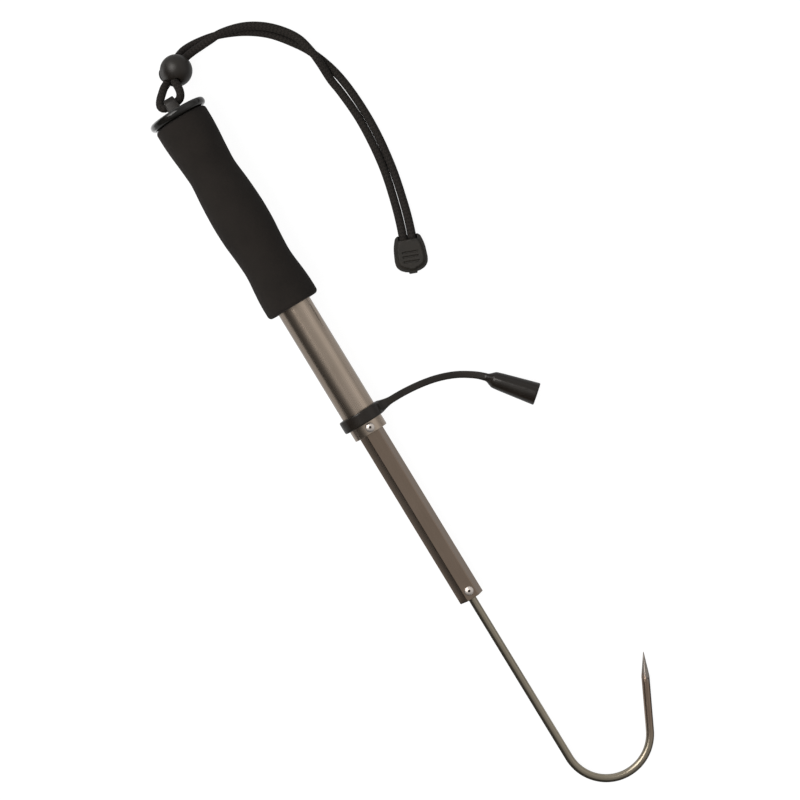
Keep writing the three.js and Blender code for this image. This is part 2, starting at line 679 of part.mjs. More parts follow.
function tunnel(bottom, top) {
  const outline = new THREE.Shape();
  outline.absarc(0, top - tunnelHalfWidth, tunnelHalfWidth, 0, Math.PI, false);
  outline.absarc(0, bottom + tunnelHalfWidth, tunnelHalfWidth, Math.PI, 2 * Math.PI, false);
  return solid(new THREE.ExtrudeGeometry(outline, {
    depth: 2 * ballRadius + 2 * overrun, bevelEnabled: false, curveSegments: 8,
  }).rotateX(Math.PI / 2).rotateZ(Math.PI / 2).translate(-ballRadius - overrun, 0, 0));
}

const upright = (bottom, top, radius) => peg(0, bottom, top, radius);

// The tunnel's mouth at one end, which widens to let the two strands spread
function flare(end) {
  const rim = [];
  const circle = (x, y, z, radius) => {
    for (let k = 0; k < smallSides; k++) {
      const angle = (k / smallSides) * 2 * Math.PI;
      rim.push(new THREE.Vector3(end * x, y + radius * Math.cos(angle), z + radius * Math.sin(angle)));
    }
  };
  circle(flareStart, 0, tunnelTop - tunnelHalfWidth, tunnelHalfWidth);
  circle(flareStart, 0, tunnelBottom + tunnelHalfWidth, tunnelHalfWidth);
  circle(flareEnd, -flareSide, pinchedMiddle + flareRise, flareRadius);
  circle(flareEnd, flareSide, pinchedMiddle - flareRise, flareRadius);
  return solid(new ConvexGeometry(rim));
}

piece('cord_lock_body', cut(
  solid(new THREE.SphereGeometry(ballRadius, roundSides, ballRows).rotateX(Math.PI / 2)),
  upright(lockFloor, buttonTop + overrun, buttonRadius + clearance),
  tunnel(tunnelBottom, tunnelTop), flare(1), flare(-1),
), ballPlastic, lock);
piece('cord_lock_button', cut(
  upright(buttonBottom, buttonTop, buttonRadius),
  tunnel(buttonEdge, buttonTunnelTop),
), ballPlastic, lock);

// Spring between the ball's floor and the button
const springLow = lockFloor + clearance + lockSpringWire;
const springHigh = buttonBottom - clearance - lockSpringWire;
const springLine = [];
for (let k = 0; k <= lockSpringTurns * lockSpringSteps; k++) {
  const share = k / (lockSpringTurns * lockSpringSteps);
  const angle = share * lockSpringTurns * 2 * Math.PI;
  springLine.push(new THREE.Vector3(lockSpringRadius * Math.cos(angle),
    lockSpringRadius * Math.sin(angle), springLow + share * (springHigh - springLow)));
}
piece('cord_lock_spring', sweep(springLine, lockSpringWire, lockSpringWire, lockSpringSides, up),
  springSteel, lock);

const pinchedLine = (level, way) => [
  [-pinchedEnd, -way * pinchedSide, level + way * pinchedSpread], [-pinchedBend, 0, level],
  [-pinchedBend / 2, 0, level], [pinchedBend / 2, 0, level],
  [pinchedBend, 0, level], [pinchedEnd, -way * pinchedSide, level + way * pinchedSpread],
];
piece('lanyard_pinched_lower', cordTube(pinchedLine(pinchedTop, 1), pinchedRadius, pinchedSteps),
  cordBlack, lock);
piece('lanyard_pinched_upper', cordTube(pinchedLine(pinchedBottom, -1), pinchedRadius, pinchedSteps),
  cordBlack, lock);

// Clip on the cord's ends, flat on the table
const clip = new THREE.Group();
clip.position.set(...clipPlace, tableGap);
clip.rotation.z = clipHeading;
lanyard.add(clip);

function clipOutline(inset) {
  const half = clipOutlineShares.map(([a, b]) => new THREE.Vector2(
    inset + a * (clipLength - 2 * inset), b * (clipHalfWidth - inset)));
  const other = half.map(({ x, y }) => new THREE.Vector2(x, -y)).reverse();
  return new THREE.Shape([...half, ...other]);
}
const slab = (inset, bottom, top, bevel) => solid(new THREE.ExtrudeGeometry(clipOutline(inset + bevel), {
  depth: top - bottom - bevel, bevelEnabled: bevel > 0, bevelThickness: bevel, bevelSize: bevel,
  bevelSegments: 2, steps: 1,
}).translate(0, 0, bottom));
const pocketEnd = clipLength * clipPocketShare;
piece('cord_end_tray', cut(
  slab(0, 0, clipTrayHeight, 0),
  box([clipRim, -clipHalfWidth + 2 * clipRim, clipFloor],
    [pocketEnd, clipHalfWidth - 2 * clipRim, clipTrayHeight + overrun]),
  box([-overrun, -clipSlotHalf, clipFloor], [pocketEnd, clipSlotHalf, clipTrayHeight + overrun]),
), nylon, clip);
const lidBottom = clipTrayHeight + clearance;
const lidTop = lidBottom + clipLidHeight;
const lidBlank = slab(clipLidInset, lidBottom, lidTop, clipLidBevel);
piece('cord_end_lid', cut(
  cut(lidBlank, box([-overrun, -clipHalfWidth, lidBottom - overrun],
    [clipLength + overrun, clipHalfWidth, lidBottom])),
  ...clipGrooveShares.map((share) => box(
    [share * clipLength, -clipGrooveHalf, lidTop - clipGrooveDepth],
    [share * clipLength + clipGrooveWidth, clipGrooveHalf, lidTop + overrun])),
), nylon, clip);

// The origin is under the middle of the gaff itself, on the table, with the lanyard left out.
const onLanyard = new Set();
lanyard.traverse((object) => onLanyard.add(object));
gaff.updateMatrixWorld(true);
const extent = new THREE.Box3();
gaff.traverse((object) => {
  if (object.isMesh && !onLanyard.has(object)) extent.expandByObject(object, true);
});
const middle = extent.getCenter(new THREE.Vector3());
gaff.position.set(-middle.x, -middle.y, -extent.min.z);

export default group;
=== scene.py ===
"""Dresses a telescopic fishing gaff that lies on its side on a white table.

The gaff is built from sub-assemblies: the handle with its grip, cap and eye, the inner tube, the
hook, the point protector, and the lanyard with its ball lock and end clip. Sizes are in
millimetres in each sub-assembly's own frame, and become metres when a mesh is placed.
"""

from __future__ import annotations

import json
import logging
import math
from dataclasses import dataclass, field
from enum import Enum
from typing import Sequence

import bmesh
import bpy
from mathutils import Matrix, Vector

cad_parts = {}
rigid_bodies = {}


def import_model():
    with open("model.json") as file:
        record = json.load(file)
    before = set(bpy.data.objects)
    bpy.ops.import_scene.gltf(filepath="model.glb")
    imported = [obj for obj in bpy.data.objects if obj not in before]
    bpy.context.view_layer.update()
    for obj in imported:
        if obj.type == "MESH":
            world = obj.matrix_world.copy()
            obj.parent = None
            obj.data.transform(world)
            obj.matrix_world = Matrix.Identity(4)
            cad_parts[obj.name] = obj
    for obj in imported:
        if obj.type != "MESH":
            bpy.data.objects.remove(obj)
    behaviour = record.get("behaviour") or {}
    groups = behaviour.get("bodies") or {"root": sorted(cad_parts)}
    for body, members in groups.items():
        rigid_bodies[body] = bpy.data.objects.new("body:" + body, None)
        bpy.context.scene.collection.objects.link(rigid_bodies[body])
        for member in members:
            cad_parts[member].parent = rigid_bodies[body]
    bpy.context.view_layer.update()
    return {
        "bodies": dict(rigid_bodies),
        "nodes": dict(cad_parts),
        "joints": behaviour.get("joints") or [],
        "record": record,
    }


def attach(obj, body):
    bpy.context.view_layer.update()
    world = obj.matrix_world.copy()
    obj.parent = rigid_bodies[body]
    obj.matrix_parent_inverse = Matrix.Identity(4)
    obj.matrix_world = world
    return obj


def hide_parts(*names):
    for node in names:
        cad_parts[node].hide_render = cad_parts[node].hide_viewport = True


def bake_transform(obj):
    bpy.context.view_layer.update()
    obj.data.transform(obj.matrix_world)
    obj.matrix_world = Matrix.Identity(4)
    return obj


LOG = logging.getLogger("gaff")
MM = 0.001

Point2 = tuple[float, float]
Point3 = tuple[float, float, float]
Colour = tuple[float, float, float]


def linear(red: int, green: int, blue: int) -> Colour:
    """Turns a colour as it looks on a screen into linear light.

    Args:
        red: Red, 0 to 255.
        green: Green, 0 to 255.
        blue: Blue, 0 to 255.

    Returns:
        The three linear values, 0 to 1.
    """

    def one(value: int) -> float:
        """Turns one channel."""
        share = value / 255
        return share / 12.92 if share <= 0.04045 else ((share + 0.055) / 1.055) ** 2.4

    return one(red), one(green), one(blue)


# Where things lie.


class Attitude(Enum):
    """The frames that the gaff's pieces are built in."""

    PITCHED = "pitched"
    ROLLED = "rolled"
    FLATS = "flats"


@dataclass(frozen=True)
class RestPose:
    """How the gaff lies on the table: nose down a little, and rolled towards the hook's point."""

    cap: Point3 = (-241.5, -42.852, 22.332)
    pitch: float = 2.11823
    roll: float = 2.5
    flat_turn: float = 3.5
    table_drop: float = 0.006

    def matrix(self, attitude: Attitude) -> Matrix:
        """Gives the placing of one frame.

        Args:
            attitude: Which frame of the gaff.

        Returns:
            The matrix from that frame's millimetres to metres in the scene.
        """
        turn = {Attitude.PITCHED: 0.0, Attitude.ROLLED: self.roll,
                Attitude.FLATS: self.roll + self.flat_turn}[attitude]
        return (Matrix.Scale(MM, 4) @ Matrix.Translation(self.cap)
                @ Matrix.Rotation(math.radians(self.pitch), 4, "Y")
                @ Matrix.Rotation(math.radians(-turn), 4, "X"))

    def table(self) -> Matrix:
        """Gives the placing of points measured from the cap along the table."""
        return Matrix.Scale(MM, 4) @ Matrix.Translation((*self.cap[:2], -self.table_drop))


REST = RestPose()


# Mesh making.


def add_object(name: str, mesh: bpy.types.Mesh) -> bpy.types.Object:
    """Makes an object at the origin for a mesh.

    Args:
        name: The object's name.
        mesh: Its mesh.

    Returns:
        The linked object.
    """
    piece = bpy.data.objects.new(name, mesh)
    bpy.context.scene.collection.objects.link(piece)
    return piece


def shade(mesh: bpy.types.Mesh, sharp: float = 35.0) -> None:
    """Shades a mesh smooth, with hard edges above an angle.

    Args:
        mesh: The mesh.
        sharp: The angle above which an edge stays hard, in degrees.
    """
    for face in mesh.polygons:
        face.use_smooth = True
    mesh.set_sharp_from_angle(angle=math.radians(sharp))


def mesh_piece(name: str, points: Sequence[Sequence[float]], faces: Sequence[Sequence[int]],
               place: Matrix, sharp: float = 35.0) -> bpy.types.Object:
    """Makes a closed mesh with its faces pointing out.

    Args:
        name: The object's name.
        points: Its corners in the frame of place.
        faces: Its faces.
        place: The placing of the corners.
        sharp: The angle above which an edge stays hard, in degrees.

    Returns:
        The object, at the origin.
    """
    mesh = bpy.data.meshes.new(name)
    mesh.from_pydata([place @ Vector(p) for p in points], [], faces)
    form = bmesh.new()
    form.from_mesh(mesh)
    bmesh.ops.remove_doubles(form, verts=form.verts, dist=1e-7)
    bmesh.ops.recalc_face_normals(form, faces=form.faces)
    form.to_mesh(mesh)
    form.free()
    shade(mesh, sharp)
    return add_object(name, mesh)


def filleted(corners: Sequence[Point3], steps: int = 6, closed: bool = True) -> list[Point2]:
    """Rounds the corners of a flat outline.

    Args:
        corners: Each corner as two coordinates and its fillet radius.
        steps: Steps in each fillet.
        closed: Whether the last corner joins the first.

    Returns:
        The rounded outline.
    """
    outline: list[Point2] = []
    count = len(corners)
    for k, (a, b, radius) in enumerate(corners):
        here = Vector((a, b))
        if radius <= 0 or (not closed and k in (0, count - 1)):
            outline.append((a, b))
            continue
        before = (Vector(corners[k - 1][:2]) - here).normalized()
        after = (Vector(corners[(k + 1) % count][:2]) - here).normalized()
        half = before.angle(after) / 2
        if half > math.pi / 2 - 0.01:
            outline.append((a, b))
            continue
        centre = here + (before + after).normalized() * radius / math.sin(half)
        first = here + before * radius / math.tan(half) - centre
        last = here + after * radius / math.tan(half) - centre
        sweep = first.angle_signed(last)
        for j in range(steps + 1):
            angle = -sweep * j / steps
            turned = Matrix.Rotation(angle, 2) @ first
            outline.append(tuple(centre + turned))
    return outline


def between(pairs: Sequence[tuple[int, int]], sides: int) -> list[list[int]]:
    """Gives the faces between pairs of closed rows that all have the same count of points."""
    return [[a * sides + j, a * sides + (j + 1) % sides, b * sides + (j + 1) % sides, b * sides + j]
            for a, b in pairs for j in range(sides)]


def lathe_piece(name: str, profile: Sequence[Point2], place: Matrix, sides: int = 96,
                sharp: float = 35.0) -> bpy.types.Object:
    """Turns a closed profile about the x axis.

    Args:
        name: The object's name.
        profile: Points of x and radius. It closes on itself or on the axis.
        place: The placing of the turned form.
        sides: Sides round the axis.
        sharp: The angle above which an edge stays hard, in degrees.

    Returns:
        The turned piece.
    """
    points: list[Point3] = []
    rings: list[list[int]] = []
    for x, radius in profile:
        start = len(points)
        if radius < 1e-6:
            points.append((x, 0.0, 0.0))
            rings.append([start] * sides)
            continue
        for j in range(sides):
            angle = 2 * math.pi * j / sides
            points.append((x, radius * math.cos(angle), radius * math.sin(angle)))
        rings.append(list(range(start, start + sides)))
    faces: list[list[int]] = []
    for k, ring in enumerate(rings):
        other = rings[(k + 1) % len(rings)]
        for j in range(sides):
            face = list(dict.fromkeys([ring[j], ring[(j + 1) % sides], other[(j + 1) % sides], other[j]]))
            if len(face) > 2:
                faces.append(face)
    return mesh_piece(name, points, faces, place, sharp)


def sweep_piece(name: str, rings: Sequence[Sequence[Vector]], place: Matrix,
                sharp: float = 35.0) -> bpy.types.Object:
    """Skins a row of rings that have the same count of points, and closes both ends.

    Args:
        name: The object's name.
        rings: The rings, in order along the piece.
        place: The placing of the rings.
        sharp: The angle above which an edge stays hard, in degrees.

    Returns:
        The swept piece.
    """
    sides = len(rings[0])
    points = [point for ring in rings for point in ring]
    faces = between([(k, k + 1) for k in range(len(rings) - 1)], sides)
    faces.append(list(range(sides))[::-1])
    faces.append([(len(rings) - 1) * sides + j for j in range(sides)])
    return mesh_piece(name, points, faces, place, sharp)


def slab_piece(name: str, outline: Sequence[Point2], low: float, high: float,
               place: Matrix) -> bpy.types.Object:
    """Makes an upright slab from an outline in x and y."""
    return sweep_piece(name, [[Vector((x, y, z)) for x, y in outline] for z in (low, high)], place)


def distances(line: Sequence[Vector], power: float = 1.0) -> list[float]:
    """Adds up the steps along a line, each raised to a power.

    Args:
        line: The points of the line.
        power: The power.

    Returns:
        The sums, which start at 0.
    """
    sums = [0.0]
    for a, b in zip(line, line[1:]):
        sums.append(sums[-1] + max((b - a).length, 1e-6) ** power)
    return sums


def blend(a: Vector, b: Vector, low: float, high: float, t: float) -> Vector:
    """Gives the point between two others that belongs to a value between their two limits."""
    return a * ((high - t) / (high - low)) + b * ((t - low) / (high - low))


def smooth_path(points: Sequence[Point3], per_span: int) -> list[Vector]:
    """Runs a smooth curve through points, spaced by the root of their distances.

    Args:
        points: The points that the curve passes.
        per_span: Steps between neighbouring points.

    Returns:
        The curve's points.
    """
    route = [Vector(p) for p in points]
    route = [2 * route[0] - route[1], *route, 2 * route[-1] - route[-2]]
    line: list[Vector] = []
    for k in range(1, len(route) - 2):
        p = route[k - 1:k + 3]
        knots = distances(p, 0.5)
        for j in range(per_span):
            t = knots[1] + (knots[2] - knots[1]) * j / per_span
            a = [blend(p[i], p[i + 1], knots[i], knots[i + 1], t) for i in range(3)]
            b = [blend(a[i], a[i + 1], knots[i], knots[i + 2], t) for i in range(2)]
            line.append(blend(b[0], b[1], knots[1], knots[2], t))
    line.append(route[-2])
    return line


def evened(line: Sequence[Vector], step: float) -> list[Vector]:
    """Spaces a line's points evenly.

    Args:
        line: The points of the line.
        step: The wanted spacing.

    Returns:
        Points at equal steps, with both ends kept.
    """
    lengths = distances(line)
    count = max(2, round(lengths[-1] / step))
    result: list[Vector] = []
    k = 0
    for j in range(count + 1):
        target = lengths[-1] * j / count
        while k < len(line) - 2 and lengths[k + 1] < target:
            k += 1
        span = max(lengths[k + 1] - lengths[k], 1e-9)
        result.append(line[k].lerp(line[k + 1], min(1.0, (target - lengths[k]) / span)))
    return result


def baked(source: bpy.types.Object, name: str, sharp: float = 35.0) -> bpy.types.Object:
    """Turns an object with live modifiers into a plain mesh object.

    Args:
        source: The object, which is removed.
        name: The new object's name.
        sharp: The angle above which an edge stays hard, in degrees.

    Returns:
        The plain object.
    """
    bpy.context.view_layer.update()
    graph = bpy.context.evaluated_depsgraph_get()
    mesh = bpy.data.meshes.new_from_object(source.evaluated_get(graph), depsgraph=graph)
    mesh.name = name
    bpy.data.objects.remove(source)
    shade(mesh, sharp)
    return add_object(name, mesh)


def modified(piece: bpy.types.Object, sharp: float, **steps: dict[str, object]) -> bpy.types.Object:
    """Applies modifiers to a piece.

    Args:
        piece: The piece, which is removed.
        sharp: The angle above which an edge stays hard, in degrees.
        steps: The settings of each modifier, by its kind in small letters.

    Returns:
        The new piece under the old name.
    """
    name = piece.name
    piece.name = f"{name}_blank"
    for kind, settings in steps.items():
        step = piece.modifiers.new(kind, kind.upper())
        for key, value in settings.items():
            setattr(step, key, value)
    return baked(piece, name, sharp)


def cut_away(piece: bpy.types.Object, tool: bpy.types.Object,
             operation: str = "DIFFERENCE") -> bpy.types.Object:
    """Cuts one form out of another, or joins them.

    Args:
        piece: The form that stays.
        tool: The form that cuts or joins, which is removed.
        operation: DIFFERENCE or UNION.

    Returns:
        The new piece under the old name.
    """
    result = modified(piece, 35.0, boolean={"operation": operation, "solver": "EXACT", "object": tool})
    bpy.data.objects.remove(tool)
    return result


def softened(piece: bpy.types.Object, voxel: float, rounds: int) -> bpy.types.Object:
    """Fuses a form into one skin and eases its edges, as a moulded or rubber part has them.

    Args:
        piece: The form.
        voxel: The mesh size in millimetres.
        rounds: How often the skin is smoothed.

    Returns:
        The softened piece under the old name.
    """
    return modified(piece, 60.0,
                    remesh={"mode": "VOXEL", "voxel_size": voxel * MM, "use_smooth_shade": True},
                    smooth={"iterations": rounds, "factor": 0.5})


def bevelled(piece: bpy.types.Object, width: float, segments: int) -> bpy.types.Object:
    """Rounds a piece's hard edges.

    Args:
        piece: The piece, which is removed.
        width: The width in millimetres.
        segments: Steps across the rounding.

    Returns:
        The new piece under the old name.
    """
    return modified(piece, 35.0, bevel={
        "width": width * MM, "segments": segments, "limit_method": "ANGLE",
        "angle_limit": math.radians(40), "harden_normals": False})


def joined(name: str, pieces: Sequence[bpy.types.Object]) -> bpy.types.Object:
    """Puts several meshes into one object.

    Args:
        name: The new object's name.
        pieces: The objects, which are removed.

    Returns:
        The one object.
    """
    form = bmesh.new()
    for piece in pieces:
        form.from_mesh(piece.data)
        bpy.data.objects.remove(piece)
    mesh = bpy.data.meshes.new(name)
    form.to_mesh(mesh)
    form.free()
    return add_object(name, mesh)


# Trees that follow a path or repeat a form.


class Bench:
    """Adds nodes to one tree and joins them."""

    def __init__(self, tree: bpy.types.NodeTree) -> None:
        """Keeps the tree."""
        self.tree = tree

    def node(self, kind: str, feed: dict[str | int, object] | None = None,
             **settings: object) -> bpy.types.Node:
        """Adds a node.

        Args:
            kind: The node's kind.
            feed: What its inputs get, by name or number: a value, a socket or a node.
            settings: Its properties, which are set first.

        Returns:
            The node.
        """
        node = self.tree.nodes.new(kind)
        for key, value in settings.items():
            setattr(node, key, value)
        for key, value in (feed or {}).items():
            self.feed(node.inputs[key], value)
        return node

    def feed(self, socket: bpy.types.NodeSocket, value: object) -> None:
        """Sets or joins an input.

        Args:
            socket: The input.
            value: What it gets: a value, a socket, or a node for its first output.
        """
        if isinstance(value, bpy.types.Node):
            value = value.outputs[0]
        if isinstance(value, bpy.types.NodeSocket):
            self.tree.links.new(value, socket)
        elif socket.type == "RGBA":
            socket.default_value = (*value, 1.0)
        else:
            socket.default_value = value


class TreeMaker(Bench):
    """Builds one geometry tree with named inputs and a finish."""

    def __init__(self, name: str, **inputs: str) -> None:
        """Starts a tree with a geometry input and output, and further inputs of given kinds.

        Args:
            name: The tree's name.
            inputs: The socket kind of each further input, by its name.
        """
        super().__init__(bpy.data.node_groups.new(name, "GeometryNodeTree"))
        sockets = self.tree.interface
        sockets.new_socket(name="Geometry", in_out="INPUT", socket_type="NodeSocketGeometry")
        sockets.new_socket(name="Geometry", in_out="OUTPUT", socket_type="NodeSocketGeometry")
        self.names = {
            key: sockets.new_socket(name=key, in_out="INPUT", socket_type=f"NodeSocket{kind}").identifier
            for key, kind in {**inputs, "Finish": "Material"}.items()}
        self.given = self.node("NodeGroupInput").outputs

    def dress(self, geometry: bpy.types.NodeSocket) -> None:
        """Makes a form's copies real, gives it the finish and sends it out.

        Args:
            geometry: The form.
        """
        real = self.node("GeometryNodeRealizeInstances", {"Geometry": geometry})
        finish = self.node("GeometryNodeSetMaterial", {"Geometry": real, "Material": self.given["Finish"]})
        self.node("NodeGroupOutput", {"Geometry": finish})

    def run(self, host: bpy.types.Object, name: str, values: dict[str, object]) -> bpy.types.Object:
        """Runs the tree on a host object.

        Args:
            host: The object that feeds the tree, which is removed.
            name: The name of the result.
            values: Values by input name.

        Returns:
            The plain mesh that the tree makes.
        """
        step = host.modifiers.new("form", "NODES")
        step.node_group = self.tree
        for key, value in values.items():
            step[self.names[key]] = value
        return baked(host, name)


def wire_tree() -> TreeMaker:
    """Makes the tree that sweeps a round wire along its host curve.

    Returns:
        The tree, with inputs for the wire's radius, its sides and the finish.
    """
    maker = TreeMaker("swept_wire", Radius="Float", Sides="Int")
    section = maker.node("GeometryNodeCurvePrimitiveCircle", {
        "Radius": maker.given["Radius"], "Resolution": maker.given["Sides"]}, mode="RADIUS")
    maker.dress(maker.node("GeometryNodeCurveToMesh", {
        "Curve": maker.given["Geometry"], "Profile Curve": section, "Fill Caps": True}).outputs["Mesh"])
    return maker


def rivet_tree() -> TreeMaker:
    """Makes the tree that sets a rivet at each point of its host mesh.

    Returns:
        The tree, with inputs for the rivet's form, its turn and the finish.
    """
    maker = TreeMaker("rivet_row", Rivet="Object", Turn="Vector")
    form = maker.node("GeometryNodeObjectInfo", {"Object": maker.given["Rivet"]})
    maker.dress(maker.node("GeometryNodeInstanceOnPoints", {
        "Points": maker.given["Geometry"], "Instance": form.outputs["Geometry"],
        "Rotation": maker.given["Turn"]}).outputs["Instances"])
    return maker


def host_curve(name: str, line: Sequence[Vector]) -> bpy.types.Object:
    """Makes a bare curve through points given in metres.

    Args:
        name: The curve's name.
        line: The points.

    Returns:
        The curve object.
    """
    data = bpy.data.curves.new(name, "CURVE")
    data.dimensions = "3D"
    spline = data.splines.new("POLY")
    spline.points.add(len(line) - 1)
    for point, place in zip(spline.points, line):
        point.co = (*place, 1)
    curve = bpy.data.objects.new(name, data)
    bpy.context.scene.collection.objects.link(curve)
    return curve


# Finishes.


class Shading(Bench):
    """Lays out one material's nodes."""

    def __init__(self, name: str) -> None:
        """Starts a material with its principled shader and object coordinates.

        Args:
            name: The material's name.
        """
        self.material = bpy.data.materials.new(name)
        self.material.use_nodes = True
        super().__init__(self.material.node_tree)
        self.shader = self.tree.nodes["Principled BSDF"]
        self.coords = self.node("ShaderNodeTexCoord")

    def along(self, scale: Point3, turn: Point3 = (0.0, 0.0, 0.0)) -> bpy.types.NodeSocket:
        """Gives object coordinates, turned in degrees and scaled.

        Args:
            scale: Pattern counts for each metre along x, y and z.
            turn: Turn of the pattern in degrees.

        Returns:
            The vector socket.
        """
        turned = self.node("ShaderNodeMapping", {
            "Vector": self.coords.outputs["Object"], "Rotation": [math.radians(a) for a in turn]})
        return self.node("ShaderNodeMapping", {"Vector": turned, "Scale": scale}).outputs["Vector"]

    def noise(self, where: bpy.types.NodeSocket, scale: float, detail: float = 4.0,
              rough: float = 0.5) -> bpy.types.NodeSocket:
        """Adds a noise pattern and gives its value socket."""
        return self.node("ShaderNodeTexNoise", {
            "Vector": where, "Scale": scale, "Detail": detail, "Roughness": rough}).outputs["Fac"]

    def spread(self, value: bpy.types.NodeSocket, low: float, high: float,
               start: float = 0.3, end: float = 0.7) -> bpy.types.NodeSocket:
        """Maps a pattern's middle range to two limits.

        Args:
            value: The pattern.
            low: What it gives at the start of the range.
            high: What it gives at the end.
            start: The pattern value where the range starts.
            end: The pattern value where it ends.

        Returns:
            The mapped value socket.
        """
        return self.node("ShaderNodeMapRange", {
            "Value": value, "From Min": start, "From Max": end,
            "To Min": low, "To Max": high}).outputs["Result"]

    def tint(self, factor: bpy.types.NodeSocket, first: bpy.types.NodeSocket | Colour,
             second: Colour) -> bpy.types.NodeSocket:
        """Mixes two colours, which are a mix node's inputs 6 and 7 and its output 2, by a factor."""
        return self.node("ShaderNodeMix", {0: factor, 6: first, 7: second}, data_type="RGBA").outputs[2]

    def math(self, operation: str, first: bpy.types.NodeSocket | float,
             second: bpy.types.NodeSocket | float = 0.0) -> bpy.types.NodeSocket:
        """Adds one step of arithmetic and gives its result socket."""
        return self.node("ShaderNodeMath", {0: first, 1: second}, operation=operation).outputs[0]

    def relief(self, height: bpy.types.NodeSocket, depth: float, strength: float = 1.0,
               under: bpy.types.NodeSocket | None = None) -> bpy.types.NodeSocket:
        """Adds a bump from a height pattern.

        Args:
            height: The pattern, 0 to 1.
            depth: Its depth in millimetres.
            strength: How strongly it shows.
            under: A bump that this one lies on.

        Returns:
            The normal socket.
        """
        feed = {"Distance": depth * MM, "Strength": strength, "Height": height}
        if under is not None:
            feed["Normal"] = under
        return self.node("ShaderNodeBump", feed).outputs["Normal"]

    def done(self, **values: object) -> bpy.types.Material:
        """Sets or links the shader's inputs by name.

        Args:
            values: Values or sockets, with spaces in the names written as underscores.

        Returns:
            The material.
        """
        for key, value in values.items():
            self.feed(self.shader.inputs[key.replace("_", " ")], value)
        return self.material


@dataclass(frozen=True)
class MetalFinish:
    """Satin or polished metal with drawn lines along it, faint stains and a few scratches."""

    name: str
    light: Colour
    dark: Colour
    roughness: float
    roughness_spread: float = 0.06
    line_depth: float = 0.0015
    nick_depth: float = 0.004
    lines: Point3 = (30.0, 6000.0, 6000.0)
    clouds: Point3 = (40.0, 120.0, 120.0)
    nicks: Point3 = (260.0, 2200.0, 2200.0)
    nick_turn: float = 7.0

    def build(self) -> bpy.types.Material:
        """Makes the material.

        Returns:
            The material, which is drawn along the gaff.
        """
        s = Shading(self.name)
        drawn = s.noise(s.along(self.lines, (0.0, -REST.pitch, 0.0)), 1.0, 3.0, 0.6)
        cloud = s.noise(s.along(self.clouds), 1.0, 5.0, 0.6)
        nick = s.noise(s.along(self.nicks, (0.0, -REST.pitch, self.nick_turn)), 1.0, 2.0, 0.4)
        scratch = s.spread(nick, 0.0, 1.0, 0.70, 0.76)
        mixed = s.math("ADD", s.math("MULTIPLY", drawn, 0.45), s.math("MULTIPLY", cloud, 0.55))
        rough = s.math("ADD", s.spread(mixed, self.roughness - self.roughness_spread,
                                       self.roughness + self.roughness_spread),
                       s.math("MULTIPLY", scratch, 0.06))
        normal = s.relief(drawn, self.line_depth, 0.5)
        normal = s.relief(scratch, self.nick_depth, 0.3, normal)
        plain = s.tint(s.spread(mixed, 0.0, 1.0, 0.35, 0.65), self.dark, self.light)
        return s.done(Base_Color=self.tone(s, plain), Metallic=1.0, Roughness=rough, Normal=normal)

    def tone(self, shading: Shading, plain: bpy.types.NodeSocket) -> bpy.types.NodeSocket:
        """Gives the final colour, which is the plain one unless a finish changes it."""
        return plain


@dataclass(frozen=True)
class HookFinish(MetalFinish):
    """Wire steel that is browner on the leg and bright where its point is ground."""

    leg: Colour = (0.2, 0.2, 0.2)
    ground: Colour = (0.7, 0.7, 0.7)
    leg_from: Point2 = (0.002, 0.012)
    ground_from: Point2 = (0.0222, 0.0238)

    def tone(self, shading: Shading, plain: bpy.types.NodeSocket) -> bpy.types.NodeSocket:
        """Changes the colour along the hook, from the bend to the point.

        Args:
            shading: The material's nodes.
            plain: The metal's own colour.

        Returns:
            The changed colour.
        """
        place = shading.node("ShaderNodeSeparateXYZ", {0: shading.coords.outputs["Object"]})
        colour = plain
        for tone, reach in ((self.leg, self.leg_from), (self.ground, self.ground_from)):
            share = shading.spread(place.outputs["Y"], 0.0, 1.0, *reach)
            colour = shading.tint(share, colour, tone)
        return colour


@dataclass(frozen=True)
class FoamFinish:
    """Closed-cell foam: matt, with fine pores, a soft fuzz at grazing angles and slight wear."""

    name: str
    light: Colour
    dark: Colour
    pore: float = 0.32
    roughness: float = 0.92
    waves: float = 260.0
    clouds: float = 45.0

    def build(self) -> bpy.types.Material:
        """Makes the material.

        Returns:
            The material, with pores and a slow waviness.
        """
        s = Shading(self.name)
        plain = s.along((1.0, 1.0, 1.0))
        cells = s.node("ShaderNodeTexVoronoi", {"Vector": plain, "Scale": 1 / (self.pore * MM)},
                       feature="F1")
        pores = s.spread(cells.outputs["Distance"], 0.0, 1.0, 0.05, 0.45)
        wave = s.noise(plain, self.waves, 3.0)
        cloud = s.noise(plain, self.clouds, 4.0, 0.55)
        normal = s.relief(wave, 0.25, 0.35)
        normal = s.relief(pores, 0.05, 0.55, normal)
        colour = s.tint(s.spread(s.math("ADD", s.math("MULTIPLY", cloud, 0.7),
                                        s.math("MULTIPLY", pores, 0.3)), 0.0, 1.0, 0.35, 0.7),
                        self.dark, self.light)
        return s.done(Base_Color=colour, Roughness=self.roughness, Normal=normal,
                      Specular_IOR_Level=0.1, Sheen_Weight=0.04, Sheen_Roughness=0.6)


